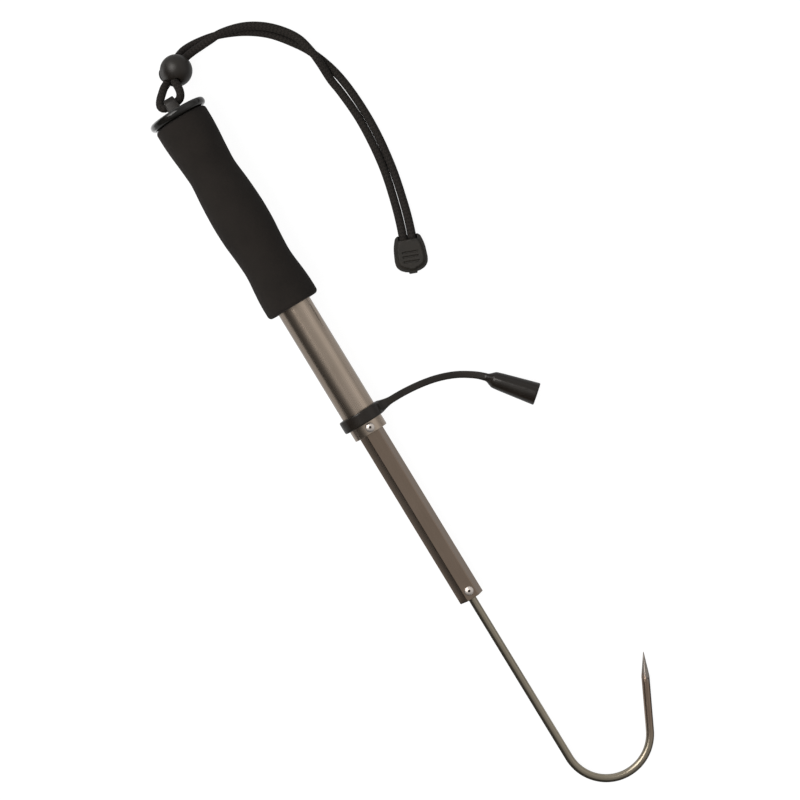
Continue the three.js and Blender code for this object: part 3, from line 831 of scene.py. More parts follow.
@dataclass(frozen=True)
class MouldedFinish:
    """Moulded plastic or rubber: a fine skin grain, handling marks and a chosen gloss."""

    name: str
    colour: Colour
    worn: Colour
    roughness: float
    grain: float = 0.5
    grain_depth: float = 0.01
    specular: float = 0.35
    coat: float = 0.0
    smears: float = 95.0

    def build(self) -> bpy.types.Material:
        """Makes the material.

        Returns:
            The material, with its grain and its handling marks.
        """
        s = Shading(self.name)
        plain = s.along((1.0, 1.0, 1.0))
        grain = s.noise(plain, 1 / (self.grain * MM), 3.0, 0.6)
        smear = s.noise(plain, self.smears, 5.0, 0.6)
        rough = s.spread(smear, self.roughness - 0.06, self.roughness + 0.1)
        normal = s.relief(grain, self.grain_depth, 0.5)
        colour = s.tint(s.spread(smear, 0.0, 1.0, 0.4, 0.75), self.colour, self.worn)
        return s.done(Base_Color=colour, Roughness=rough, Normal=normal,
                      Specular_IOR_Level=self.specular, Coat_Weight=self.coat, Coat_Roughness=0.12)


@dataclass(frozen=True)
class BraidFinish:
    """A round braided cord: two sets of slanting yarns that pass over and under each other."""

    name: str
    light: Colour
    dark: Colour
    yarns: float = 8.0
    pitch: float = 0.42
    depth: float = 0.08
    fibres: float = 2600.0

    def build(self) -> bpy.types.Material:
        """Makes the material.

        Returns:
            The material, which follows the cord's own map.
        """
        s = Shading(self.name)
        own = s.node("ShaderNodeUVMap", uv_map="cord_map")
        split = s.node("ShaderNodeSeparateXYZ", {0: own})
        across = s.math("MULTIPLY", split.outputs["X"], self.yarns)
        along = s.math("MULTIPLY", split.outputs["Y"], self.pitch)
        first = s.math("ADD", across, along)
        second = s.math("SUBTRACT", across, along)
        lobes = [s.math("ABSOLUTE", s.math("SINE", s.math("MULTIPLY", value, math.pi)))
                 for value in (first, second)]
        over = s.math("GREATER_THAN", s.math("SINE", s.math("MULTIPLY", s.math(
            "ADD", first, second), math.pi)), 0.0)
        braid = s.node("ShaderNodeMix", {0: over, 2: lobes[0], 3: lobes[1]}, data_type="FLOAT").outputs[0]
        fibre = s.noise(s.along((self.fibres,) * 3), 1.0, 2.0)
        normal = s.relief(braid, self.depth, 0.7)
        normal = s.relief(fibre, 0.03, 0.4, normal)
        # The colour is lighter on each yarn's crown and darker where the yarns dip: painted shade in the
        # braid's grooves.
        return s.done(Base_Color=s.tint(s.spread(braid, 0.0, 1.0, 0.2, 0.9), self.dark, self.light),
                      Roughness=0.85, Normal=normal, Specular_IOR_Level=0.12,
                      Sheen_Weight=0.03, Sheen_Roughness=0.5)


def made(finish: MetalFinish | FoamFinish | MouldedFinish | BraidFinish) -> bpy.types.Material:
    """Gives a field that holds the finish's material."""
    return field(default_factory=finish.build)


@dataclass
class Palette:
    """All the finishes of the gaff, built once."""

    anodised: bpy.types.Material = made(MetalFinish(
        "anodised_satin", linear(168, 154, 141), linear(158, 144, 130), 0.27, 0.02))
    hexagon: bpy.types.Material = made(MetalFinish(
        "anodised_hexagon", linear(134, 119, 106), linear(126, 111, 98), 0.2, 0.02))
    hook: bpy.types.Material = made(HookFinish(
        "hook_steel", linear(143, 135, 120), linear(134, 126, 111), 0.3, 0.01, 0.0, 0.0004,
        leg=linear(126, 109, 96), ground=linear(131, 124, 118)))
    rivet: bpy.types.Material = made(MetalFinish(
        "rivet_bright", linear(212, 204, 198), linear(194, 186, 179), 0.45, 0.05))
    # Painted shade: the steel mandrels are coloured dark so that the rivets' open middles read as shaded
    # holes.
    mandrel: bpy.types.Material = made(MetalFinish(
        "mandrel_dark", linear(60, 56, 52), linear(48, 45, 42), 0.5, 0.05))
    steel: bpy.types.Material = made(MetalFinish(
        "plain_steel", linear(178, 175, 170), linear(150, 147, 142), 0.32, 0.05))
    eye: bpy.types.Material = made(MouldedFinish(
        "eye_coating", linear(20, 16, 13), linear(38, 32, 27), 0.34, 1.1, 0.02, 0.22))
    foam: bpy.types.Material = made(FoamFinish("grip_foam", linear(40, 36, 33), linear(31, 28, 26)))
    cap: bpy.types.Material = made(MouldedFinish(
        "cap_gloss", linear(20, 19, 17), linear(30, 28, 26), 0.13, 0.9, 0.006, 0.34))
    rubber: bpy.types.Material = made(MouldedFinish(
        "protector_rubber", linear(25, 20, 15), linear(34, 28, 22), 0.42, 0.35, 0.012, 0.14, 0.35))
    ball: bpy.types.Material = made(MouldedFinish(
        "ball_plastic", linear(24, 19, 14), linear(31, 25, 19), 0.42, 0.5, 0.01, 0.36))
    # Painted shade: the button is a darker copy of the ball's plastic, for the shade it sits in.
    button: bpy.types.Material = made(MouldedFinish(
        "button_plastic", linear(17, 15, 13), linear(24, 21, 19), 0.4, 0.5, 0.01, 0.2))
    clip: bpy.types.Material = made(MouldedFinish(
        "clip_plastic", linear(28, 24, 18), linear(37, 32, 25), 0.5, 0.3, 0.02, 0.3))
    # Painted shade: the tray is a darker copy of the clip's plastic, for the shade that the lid and cords
    # cast on its rim.
    tray: bpy.types.Material = made(MouldedFinish(
        "tray_plastic", linear(26, 23, 19), linear(35, 31, 26), 0.42, 0.3, 0.02, 0.25))
    nylon: bpy.types.Material = made(MouldedFinish(
        "inner_nylon", linear(34, 32, 30), linear(46, 44, 41), 0.5, 0.5, 0.01, 0.3))
    cord: bpy.types.Material = made(BraidFinish("cord_braid", linear(45, 41, 38), linear(29, 27, 25)))


class Kit:
    """What each sub-assembly needs to build its pieces."""

    def __init__(self, frame: dict, palette: Palette) -> None:
        """Keeps the frame and the finishes, and builds the shared trees.

        Args:
            frame: What the frame was loaded with.
            palette: The finishes.
        """
        self.nodes = frame["nodes"]
        self.palette = palette
        self.wire = wire_tree()
        self.rivets = rivet_tree()

    def dress(self, piece: bpy.types.Object, material: bpy.types.Material) -> None:
        """Gives a piece its one material."""
        piece.data.materials.clear()
        piece.data.materials.append(material)

    def stand(self, piece: bpy.types.Object, material: bpy.types.Material, body: str | None,
              slot: str, *nodes: str) -> None:
        """Dresses a piece, hangs it on its body and lets it stand for solid nodes.

        Args:
            piece: The finished piece.
            material: Its finish.
            body: The body that it moves with, or None to leave it on no body.
            slot: The record's material slot; not used.
            nodes: The solid nodes that it stands for.
        """
        self.dress(piece, material)
        if body:
            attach(piece, body)
        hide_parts(*nodes)
        LOG.info("%s: %d faces on %s", piece.name, len(piece.data.polygons), body)

    def keep(self, material: bpy.types.Material, *nodes: str) -> None:
        """Gives solid nodes that stay a better finish."""
        for node in nodes:
            self.dress(self.nodes[node], material)


# Sub-assemblies.


@dataclass
class Handle:
    """The outer tube, the foam grip, the end cap and the lanyard eye."""

    tube_radius: float = 11.0
    tube_wall: float = 1.2
    tube_start: float = 5.2
    tube_end: float = 229.0
    grip_radius: float = 17.3
    grip_length: float = 133.2
    grip_edge: float = 2.4
    cap_radius: float = 18.9
    cap_thickness: float = 4.9
    cap_edge: float = 2.2
    cap_floor: float = 6.5
    cap_hole: float = 2.8
    stem_radius: float = 9.5
    stem_bore: float = 7.3
    stem_end: float = 27.2
    stud_radius: float = 2.5
    stud_end: float = 13.3
    eye_seat: Point2 = (0.2, 7.6)
    eye_base: float = -0.1
    eye_height: float = 9.1
    eye_base_half: float = 5.5
    eye_hole: float = 2.95
    eye_hole_x: float = -4.65
    eye_crown: float = 4.55
    eye_thick: tuple[float, float] = (8.6, 6.5)
    swells: tuple[Point2, ...] = (
        (0, 1), (0.074, 0.997), (0.134, 0.971), (0.193, 0.93), (0.252, 0.896), (0.283, 0.885),
        (0.32, 0.902), (0.372, 0.942), (0.431, 0.974), (0.49, 0.996), (0.54, 1), (0.61, 0.982),
        (0.669, 0.943), (0.728, 0.911), (0.765, 0.901), (0.8, 0.912), (0.848, 0.951),
        (0.907, 0.991), (0.95, 1.003), (1, 1))

    def build(self, kit: Kit) -> None:
        """Makes every piece of the handle.

        Args:
            kit: The shared kit.
        """
        self.make_tube(kit)
        self.make_grip(kit)
        self.make_cap(kit)
        self.make_eye(kit)
        kit.keep(kit.palette.nylon, "guide_bush")
        kit.keep(kit.palette.steel, "eye_washer", "eye_nut")
        kit.keep(kit.palette.mandrel, "guide_rivet_mandrel")

    def make_tube(self, kit: Kit) -> None:
        """Turns the outer tube with eased lips.

        Args:
            kit: The shared kit.
        """
        outer, inner = self.tube_radius, self.tube_radius - self.tube_wall
        profile = filleted([
            (self.tube_start, inner, 0.2), (self.tube_start, outer, 0.3),
            (self.tube_end, outer, 0.35), (self.tube_end, inner, 0.3)], 5)
        tube = lathe_piece("tube_skin", profile, REST.matrix(Attitude.FLATS), 128)
        kit.stand(tube, kit.palette.anodised, "handle", "anodised_tube", "outer_tube")

    def make_grip(self, kit: Kit) -> None:
        """Turns the foam grip through its swells, with soft rims.

        Args:
            kit: The shared kit.
        """
        start = self.tube_start
        line = smooth_path([(start + x * self.grip_length, r * self.grip_radius, 0.0)
                            for x, r in self.swells], 10)
        top = [(p.x, p.y) for p in line]
        keep = [(x, r) for x, r in top
                if start + self.grip_edge < x < start + self.grip_length - self.grip_edge]
        bore = self.tube_radius + 0.1
        end = start + self.grip_length
        corner = filleted([(start, bore, 0.0), (start, self.grip_radius, self.grip_edge),
                           (keep[0][0], self.grip_radius, 0.0)], 8, False)
        other = filleted([(keep[-1][0], self.grip_radius, 0.0), (end, self.grip_radius, self.grip_edge),
                          (end, bore, 0.0)], 8, False)
        profile = [(start + 1.0, bore), *corner[:-1], *keep, *other[1:], (end - 1.0, bore)]
        grip = lathe_piece("grip_foam", profile, REST.matrix(Attitude.ROLLED), 128, 60.0)
        kit.stand(grip, kit.palette.foam, "handle", "foam", "grip")

    def make_cap(self, kit: Kit) -> None:
        """Turns the glossy end cap with the eye's shallow seat, rounded flange and hollow stem.

        Args:
            kit: The shared kit.
        """
        depth, seat = self.eye_seat
        profile = filleted([
            (depth, self.cap_hole, 0.1), (depth, seat, 0.05), (0.0, seat, 0.1),
            (0.0, self.cap_radius, self.cap_edge), (self.cap_thickness, self.cap_radius, self.cap_edge),
            (self.cap_thickness, self.stem_radius, 0.2), (self.stem_end, self.stem_radius, 0.4),
            (self.stem_end, self.stem_bore, 0.2), (self.cap_floor, self.stem_bore, 0.3),
            (self.cap_floor, self.cap_hole, 0.1)], 10)
        cap = lathe_piece("cap_flange", profile, REST.matrix(Attitude.ROLLED), 128)
        kit.stand(cap, kit.palette.cap, "handle", "cap_plastic", "end_cap")

    def eye_outline(self) -> list[Point2]:
        """Gives the lug's outline seen from its side: a round crown on a straight base.

        Returns:
            Points of x and height.
        """
        arc = [math.pi / 2 + math.pi * k / 56 for k in range(57)]
        crown = [(self.eye_hole_x + self.eye_crown * math.cos(a), self.eye_crown * math.sin(a)) for a in arc]
        half = self.eye_base_half
        foot = [(self.eye_base, half * (k / 12 - 1)) for k in range(25)]
        return [foot[-1], *crown, *foot[:-1]]

    def make_eye(self, kit: Kit) -> None:
        """Makes the tapered lug with its rounded hole and its stud.

        Args:
            kit: The shared kit.
        """
        base = self.eye_base
        outer = self.eye_outline()
        middle = Vector((self.eye_hole_x, 0.0))
        hole = [tuple(middle + (Vector(p) - middle).normalized() * self.eye_hole) for p in outer]
        points: list[Point3] = []
        for ring in (outer, hole):
            for side in (-1, 1):
                for x, w in ring:
                    share = (base - x) / self.eye_height
                    half = (self.eye_thick[0] + (self.eye_thick[1] - self.eye_thick[0]) * share) / 2
                    points.append((x, side * half, w))
        faces = between(((0, 1), (3, 2), (2, 0), (1, 3)), len(outer))
        place = REST.matrix(Attitude.ROLLED)
        lug = bevelled(mesh_piece("eye_lug", points, faces, place), 0.55, 4)
        stud = lathe_piece("eye_stud", filleted([
            (base + 0.2, 0.0, 0.0), (base + 0.2, self.stud_radius, 0.0),
            (self.stud_end, self.stud_radius, 0.4), (self.stud_end, 0.0, 0.0)], 4, False), place, 48)
        eye = joined("lanyard_lug", [lug, stud])
        kit.stand(eye, kit.palette.eye, "handle", "eye_metal", "lanyard_eye")


@dataclass
class InnerTube:
    """The hexagonal tube that slides in the outer tube, with its hidden piston and plug."""

    across: float = 14.1
    corner: float = 0.8
    inner_corner: float = 0.4
    wall: float = 1.2
    lip: float = 0.25
    start: float = 185.9
    end: float = 347.5

    def section(self, across: float, corner: float, steps: int = 7, support: float = 0.12) -> list[Point2]:
        """Gives the hexagon's outline.

        Args:
            across: Its size across the flats.
            corner: Its corner radius.
            steps: Steps in each corner.
            support: Distance of the extra points that keep the flats flat.

        Returns:
            Points of y and height, with a flat on top.
        """
        reach = (across / 2 - corner) / math.cos(math.pi / 6)
        outline: list[Point2] = []
        for k in range(6):
            middle = k * math.pi / 3
            centre = Vector((reach * math.cos(middle), reach * math.sin(middle)))
            arc = []
            for j in range(steps + 1):
                angle = middle - math.pi / 6 + (math.pi / 3) * j / steps
                arc.append(centre + corner * Vector((math.cos(angle), math.sin(angle))))
            before = middle - math.pi / 6
            after = middle + math.pi / 6
            outline.append(tuple(arc[0] - support * Vector((-math.sin(before), math.cos(before)))))
            outline += [tuple(p) for p in arc]
            outline.append(tuple(arc[-1] + support * Vector((-math.sin(after), math.cos(after)))))
        return outline

    def build(self, kit: Kit) -> None:
        """Makes the tube's skin and dresses what is inside.

        Args:
            kit: The shared kit.
        """
        outside = self.section(self.across, self.corner)
        inside = self.section(self.across - 2 * self.wall, self.inner_corner)
        lip = self.lip

        def ring(x: float, outline: list[Point2], grow: float) -> list[Vector]:
            """Gives an outline at a place along the tube, grown by a share of its size."""
            return [Vector((x, y * (1 + grow), w * (1 + grow))) for y, w in outline]

        slim = -2 * lip / self.across
        rows = [ring(self.start, outside, slim), ring(self.start + lip, outside, 0),
                ring(self.start + 2 * lip, outside, 0),
                ring(self.end - 2 * lip, outside, 0), ring(self.end - lip, outside, 0),
                ring(self.end - lip / 3, outside, slim / 3), ring(self.end, outside, slim),
                ring(self.end, inside, -slim / 2), ring(self.end - lip, inside, 0),
                ring(self.start, inside, 0)]
        points = [p for row in rows for p in row]
        faces = between([(k, (k + 1) % len(rows)) for k in range(len(rows))], len(outside))
        tube = mesh_piece("hexagon_skin", points, faces, REST.matrix(Attitude.FLATS), 40.0)
        kit.stand(tube, kit.palette.hexagon, "pole", "anodised_tube", "inner_tube")
        kit.keep(kit.palette.nylon, "slide_piston", "hook_plug")
        kit.keep(kit.palette.rubber, "friction_ring_1", "friction_ring_2")
        kit.keep(kit.palette.steel, "piston_pin", "hook_washer", "hook_nut")
        kit.keep(kit.palette.mandrel, "hook_rivet_mandrel")


@dataclass
class Hook:
    """The wire hook with its ground four-sided point."""

    wire: float = 2.5
    bend: float = 27.0
    shank_start: float = 315.0
    bend_start: float = 463.1
    bend_angle: float = 153.5
    leg: float = 48.7
    ground: float = 16.5
    tip: float = 0.12
    first_flat: float = 0.8
    ease_length: float = 0.45
    ground_turn: float = 15.0
    ridge_turn: float = 8.0
    ridge_share: float = 1.2

    def build(self, kit: Kit) -> None:
        """Sweeps the wire and grinds its point.

        Args:
            kit: The shared kit.
        """
        place = REST.matrix(Attitude.ROLLED)
        line = [Vector((self.shank_start + (self.bend_start - self.shank_start) * k / 40, 0, 0))
                for k in range(40)]
        turns = 72
        leaving = math.radians(self.bend_angle)
        for k in range(turns + 1):
            angle = leaving * k / turns - math.pi / 2
            line.append(Vector((self.bend_start + self.bend * math.cos(angle),
                                self.bend + self.bend * math.sin(angle), 0)))
        heading = Vector((math.cos(leaving), math.sin(leaving), 0))
        root = line[-1]
        plain = self.leg - self.ground
        stops = [plain * k / 12 for k in range(1, 13)]
        stops += [plain + 0.02, plain + 0.25, plain + 0.5]
        stops += [plain + 0.5 + (self.ground - 0.5) * k / 40 for k in range(1, 41)]
        line += [root + heading * s for s in stops]
        host = host_curve("hook_line", [place @ p for p in line])
        hook = kit.wire.run(host, "hook_wire", {"Radius": self.wire * MM, "Sides": 48,
                                                "Finish": kit.palette.hook})
        self.grind(hook.data, place, root + heading * self.leg, heading)
        shade(hook.data, 28.0)
        kit.stand(hook, kit.palette.hook, "pole", "hook_steel", "hook")

    def grind(self, mesh: bpy.types.Mesh, place: Matrix, tip: Vector, heading: Vector) -> None:
        """Flattens four sides of the wire's end down to its point.

        Args:
            mesh: The swept wire, in metres.
            place: The placing of the hook's frame.
            tip: The tip in that frame.
            heading: The leg's direction in that frame.
        """
        back = place.inverted()
        side = Vector((-heading.y, heading.x, 0))
        planes = [(45.0 + 90.0 * k, 1.0) for k in range(4)] + [(self.ridge_turn, self.ridge_share)]
        for corner in mesh.vertices:
            point = back @ corner.co
            away = (tip - point).dot(heading)
            if away > self.ground - 0.01 or (point - tip).length > 2 * self.ground:
                continue
            a = (point - tip).dot(side)
            b = point.z
            radius = math.hypot(a, b)
            if radius < 1e-6:
                continue
            share = max(0.0, min(1.0, away / self.ground))
            ease = min(1.0, (self.ground - away) / self.ease_length)
            flat = self.tip + (self.wire * self.first_flat - self.tip) * share
            angle = math.atan2(a, b) - math.radians(self.ground_turn)
            limit = min(flat * reach / max(1e-6, math.cos(angle - math.radians(turn)))
                        for turn, reach in planes)
            limit = min(self.wire, self.wire * (1 - ease) + limit * ease)
            factor = min(radius, limit) / radius
            corner.co = place @ (tip - heading * away + side * a * factor + Vector((0, 0, b * factor)))


@dataclass
class Rivets:
    """The two blind rivets with domed heads and open middles."""

    head: float = 2.9
    rise: float = 1.3
    shank: float = 1.6
    bore: float = 0.75
    edge: float = 0.12
    spots: tuple[tuple[str, str, float, float, float, str], ...] = (
        ("tube_rivet", "handle", 225.4, 11.3, 2.6, "guide_rivet"),
        ("hexagon_rivet", "pole", 342.3, 7.35, 3.25, "hook_rivet"))

    def form(self, depth: float) -> bpy.types.Object:
        """Turns one rivet, upright, with its seat at zero.

        Args:
            depth: How far the shank goes down, in millimetres.

        Returns:
            The rivet.
        """
        dome = [(self.rise * math.sin(a), self.head * math.cos(a))
                for a in (math.pi / 2 * k / 12 for k in range(13))]
        dome = [p for p in dome if p[1] > self.bore + self.edge]
        profile = [(-depth, self.bore), (-depth, self.shank), (0.0, self.shank),
                   (0.0, self.head - self.edge), (0.08, self.head), *dome[1:],
                   (self.rise - 0.02, self.bore + 0.1), (self.rise - self.edge, self.bore)]
        upright = Matrix.Scale(MM, 4) @ Matrix.Rotation(-math.pi / 2, 4, "Y")
        return lathe_piece("rivet_form", profile, upright, 56, 50.0)

    def build(self, kit: Kit) -> None:
        """Sets a rivet on each tube.

        Args:
            kit: The shared kit.
        """
        flats = REST.matrix(Attitude.FLATS)
        turn = flats.to_euler()
        for name, body, x, seat, depth, node in self.spots:
            form = self.form(depth)
            host = bpy.data.meshes.new(f"{name}_seat")
            host.from_pydata([flats @ Vector((x, 0, seat))], [], [])
            piece = kit.rivets.run(add_object(f"{name}_host", host), name,
                                   {"Rivet": form, "Turn": tuple(turn), "Finish": kit.palette.rivet})
            bpy.data.objects.remove(form)
            kit.stand(piece, kit.palette.rivet, body, "rivet_metal", node)


@dataclass
class PointProtector:
    """The rubber ring on the tube, its tether and the flared socket, moulded in one."""

    bore: float = 11.15
    ring: float = 13.9
    ring_start: float = 214.0
    ring_end: float = 222.0
    ring_corner: float = 0.9
    bore_corner: float = 0.2
    lug_tip: float = 17.3
    root_gap: float = 0.3
    strap_sunk: float = 1.0
    bend_reach: float = 3.0
    step: float = 0.8
    skin: float = 0.34
    tether_half: float = 2.3
    tether_rise: float = 1.6
    reach: float = 57.8
    neck_height: float = 5.1
    socket: float = 33.4
    mouth: float = 7.1
    mouth_clear: float = 0.2
    wall: float = 1.6
    cup_lips: Point2 = (0.55, 0.5)
    cup_outside: tuple[Point3, ...] = (
        (0.0, 0.0, 0.0), (0.0, 2.0, 0.5), (2.0, 3.0, 3.0), (5.4, 5.1, 3.0), (10.0, 5.55, 8.0))
    cup_inside: tuple[Point3, ...] = ((10.0, 3.2, 2.0), (8.4, 2.6, 1.0), (8.4, 0.0, 0.0))
    heading: float = 40.2
    root_flare: Point2 = (1.7, 3.8)
    root_rows: int = 9
    neck_flare: Point2 = (0.3, 0.9)
    neck_share: float = 0.14
    waist: float = 0.1
    boxy: float = 0.75
    into_socket: tuple[float, ...] = (0.6, 1.4, 2.4, 3.6, 5.0)
    route: tuple[Point3, ...] = (
        (0, 0, 1), (0.002, 0.137, 0.84), (0.012, 0.265, 0.602), (0.029, 0.391, 0.376),
        (0.055, 0.516, 0.204), (0.093, 0.638, 0.075), (0.144, 0.756, 0), (0.211, 0.867, -0.02),
        (0.27, 0.946, -0.01), (0.322, 1, 0))

    def strap_ring(self, centre: Vector, ahead: Vector, half: float, rise: float,
                   square: float) -> list[Vector]:
        """Gives one section of the strap.

        Args:
            centre: The section's middle.
            ahead: The strap's direction there.
            half: Half of its width.
            rise: Half of its height.
            square: How boxy it is, 0 for an oval.

        Returns:
            The section's points.
        """
        side = ahead.cross(Vector((0, 0, 1))).normalized()
        over = side.cross(ahead).normalized()
        power = 2 / (2 + 3 * square)
        ring: list[Vector] = []
        for k in range(28):
            angle = 2 * math.pi * k / 28
            c, s = math.cos(angle), math.sin(angle)
            ring.append(centre + side * half * math.copysign(abs(c) ** power, c)
                        + over * rise * math.copysign(abs(s) ** power, s))
        return ring

    def axis_height(self, x: float) -> float:
        """Gives the height of the tube's axis above the table."""
        return REST.cap[2] + REST.table_drop - x * math.tan(math.radians(REST.pitch))

    def root(self) -> Point2:
        """Gives where the tether's middle line starts, beside the ring."""
        return (self.ring_start + self.ring_end) / 2, self.lug_tip + self.root_gap + self.tether_half

    def tether_route(self) -> list[Point3]:
        """Gives the points that the tether passes, from its root to the socket's neck.

        Returns:
            The points, in the tube's frame.
        """
        x, y = self.root()
        rise = self.axis_height(x) - self.neck_height
        return [(x + along * self.reach, y + side * self.reach,
                 self.neck_height + drop * rise - self.axis_height(x + along * self.reach))
                for along, side, drop in self.route]

    def socket_frame(self, neck: Point3) -> Matrix:
        """Gives the socket's frame: x from its neck to its mouth, which rests on the table.

        Args:
            neck: The socket's neck.

        Returns:
            The frame, in the tube's frame.
        """
        rest = math.asin((self.mouth + self.mouth_clear - self.neck_height) / self.socket)
        pitch = -rest - math.radians(REST.pitch) * math.cos(math.radians(self.heading))
        return (Matrix.Translation(neck) @ Matrix.Rotation(math.radians(self.heading), 4, "Z")
                @ Matrix.Rotation(pitch, 4, "Y"))

    def strap_rings(self, line: Sequence[Vector]) -> list[list[Vector]]:
        """Gives the strap's sections, which flare towards the ring and towards the socket.

        Args:
            line: The strap's middle line, from inside the ring to inside the socket.

        Returns:
            A section for each point of the line.
        """
        rings: list[list[Vector]] = []
        total = len(line) - 1
        for k, centre in enumerate(line):
            ahead = (line[min(k + 1, total)] - line[max(k - 1, 0)]).normalized()
            share = k / total
            near = max(0.0, 1 - k / self.root_rows)
            far = max(0.0, (share - 1 + self.neck_share) / self.neck_share)
            half = (self.tether_half + self.root_flare[0] * near ** 1.5
                    - self.waist * math.sin(math.pi * share) + self.neck_flare[0] * far)
            rise = self.tether_rise + self.root_flare[1] * near ** 2.2 + self.neck_flare[1] * far ** 1.5
            rings.append(self.strap_ring(centre, ahead, half, rise, self.boxy * (1 - far)))
        return rings

    def build(self, kit: Kit) -> None:
        """Makes the protector as one soft skin.

        Args:
            kit: The shared kit.
        """
        place = REST.matrix(Attitude.PITCHED)
        root_x, root_y = self.root()
        route = self.tether_route()
        frame = self.socket_frame(route[-1])
        line = evened(smooth_path(route, 12), self.step)
        start = Vector((root_x, self.ring - self.strap_sunk, 0.0))
        line = [*(start.lerp(line[0], k / 8) for k in range(8)), *line,
                *(frame @ Vector((reach, 0, 0)) for reach in self.into_socket)]
        strap = sweep_piece("strap", self.strap_rings(line), place)
        inner, outer = self.bore_corner, self.ring_corner
        ring = lathe_piece("ring", filleted([
            (self.ring_start, self.bore, inner), (self.ring_start, self.ring, outer),
            (self.ring_end, self.ring, outer), (self.ring_end, self.bore, inner)], 6), place, 96)
        cup = lathe_piece("cup", filleted([
            *self.cup_outside, (self.socket, self.mouth, self.cup_lips[0]),
            (self.socket, self.mouth - self.wall, self.cup_lips[1]), *self.cup_inside],
            6, False), place @ frame, 96)
        skin = softened(joined("point_protector", [strap, ring, cup]), self.skin, 5)
        kit.stand(skin, kit.palette.rubber, None, "rubber",
                  "protector_ring", "protector_tether", "protector_socket")
        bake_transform(skin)


@dataclass
class CordRoute:
    """The lanyard's line: one cord from the clip through the lock, round the eye and back."""

    radius: float = 2.54
    pinched: float = 1.95
    pinch_from: Point2 = (6.4, 8.8)
    splayed: float = 0.16
    splay_reach: float = 24.0
    step: float = 1.2
    lower: tuple[Point3, ...] = (
        (-27.6, 15.8, 7.3), (-29.3, 17.2, 6.1), (-30.8, 19.6, 4.9), (-32.0, 23.0, 3.8),
        (-32.4, 26.4, 3.1), (-32.3, 31.1, 2.7), (-31.0, 40.0, 2.6), (-28.9, 47.8, 2.6),
        (-22.4, 61.7, 2.6), (-13.4, 73.7, 2.6), (-0.5, 84.1, 2.6), (9.8, 90.2, 2.6),
        (29.8, 96.8, 2.6), (62.0, 99.1, 2.6), (93.1, 96.2, 2.6), (119.8, 90.2, 2.7),
        (134.5, 85.6, 3.8), (146.6, 80.8, 3.9))
    lower_core: tuple[Point3, ...] = (
        (-25.51, 14.33, 8.78), (-24.35, 12.92, 9.6), (-22.03, 10.1, 11.23), (-20.87, 8.69, 12.04))
    loop: tuple[Point3, ...] = (
        (-19.5, 6.1, 13.0), (-18.7, 4.6, 13.9), (-17.7, 2.9, 15.2), (-16.4, 1.0, 16.8),
        (-14.3, -1.2, 18.3), (-11.6, -3.9, 19.8), (-9.1, -5.7, 20.8), (-7.3, -6.3, 21.5),
        (-5.9, -5.9, 22.1), (-4.9, -4.8, 22.4), (-4.6, -3.4, 22.5), (-4.6, 0.0, 22.5),
        (-4.6, 3.5, 22.5), (-5.1, 5.9, 22.4), (-6.8, 7.6, 22.0), (-9.1, 8.6, 21.4),
        (-11.8, 9.0, 20.5), (-14.3, 9.0, 19.3), (-16.3, 9.1, 18.0), (-17.6, 9.5, 16.9))
    upper_core: tuple[Point3, ...] = (
        (-19.97, 11.27, 15.23), (-21.13, 12.68, 14.42), (-23.45, 15.5, 12.79), (-24.61, 16.91, 11.97))
    upper: tuple[Point3, ...] = (
        (-25.7, 19.4, 11.2), (-26.5, 21.5, 10.5), (-27.1, 23.8, 9.8), (-27.8, 28.1, 8.8),
        (-28.3, 35.2, 7.8), (-28.6, 41.2, 7.5), (-28.8, 47.8, 7.9), (-24.9, 63.1, 7.2),
        (-16.2, 76.4, 6.4), (-2.4, 87.1, 6.6), (9.8, 90.2, 7.9), (18.1, 91.0, 7.3),
        (30.6, 91.5, 3.5), (40.0, 92.8, 2.7), (62.0, 94.0, 2.6), (92.3, 91.2, 2.6),
        (118.4, 85.0, 2.7), (132.4, 80.5, 3.8), (144.5, 75.8, 3.9))

    def line(self) -> list[Vector]:
        """Runs the cord through all its points.

        Returns:
            The centreline in metres, in the scene.
        """
        points = [*reversed(self.lower), *self.lower_core, *self.loop, *self.upper_core, *self.upper]
        place = REST.table()
        return [place @ p for p in evened(smooth_path(points, 14), self.step)]

    def pinch(self, point: Vector, ball: Vector) -> float:
        """Gives the cord's radius, thinner inside the ball.

        Args:
            point: A point of the centreline.
            ball: The ball's middle.

        Returns:
            The radius in millimetres.
        """
        near, far = self.pinch_from
        share = min(1.0, max(0.0, ((point - ball).length / MM - near) / (far - near)))
        share = share * share * (3 - 2 * share)
        return self.pinched + (self.radius - self.pinched) * share

    def splay(self, point: Vector, mouth: Vector) -> float:
        """Gives how much wider the cord gets in millimetres near the clip that squeezes it."""
        return self.splayed * max(0.0, 1 - (point - mouth).length / (self.splay_reach * MM))


@dataclass(frozen=True)
class Slot:
    """One section of a tunnel for both cords: a slot with round ends."""

    x: float
    low: Point2
    high: Point2
    half: float

    def ring(self) -> list[Vector]:
        """Draws the section.

        Returns:
            The section's points, round the upper end first.
        """
        axis = (Vector(self.high) - Vector(self.low)).normalized()
        right = Vector((axis.y, -axis.x))
        ring: list[Vector] = []
        for middle, start in ((self.high, 0.0), (self.low, math.pi)):
            for k in range(17):
                angle = start + math.pi * k / 16
                spot = Vector(middle) + self.half * (right * math.cos(angle) + axis * math.sin(angle))
                ring.append(Vector((self.x, spot.x, spot.y)))
        return ring


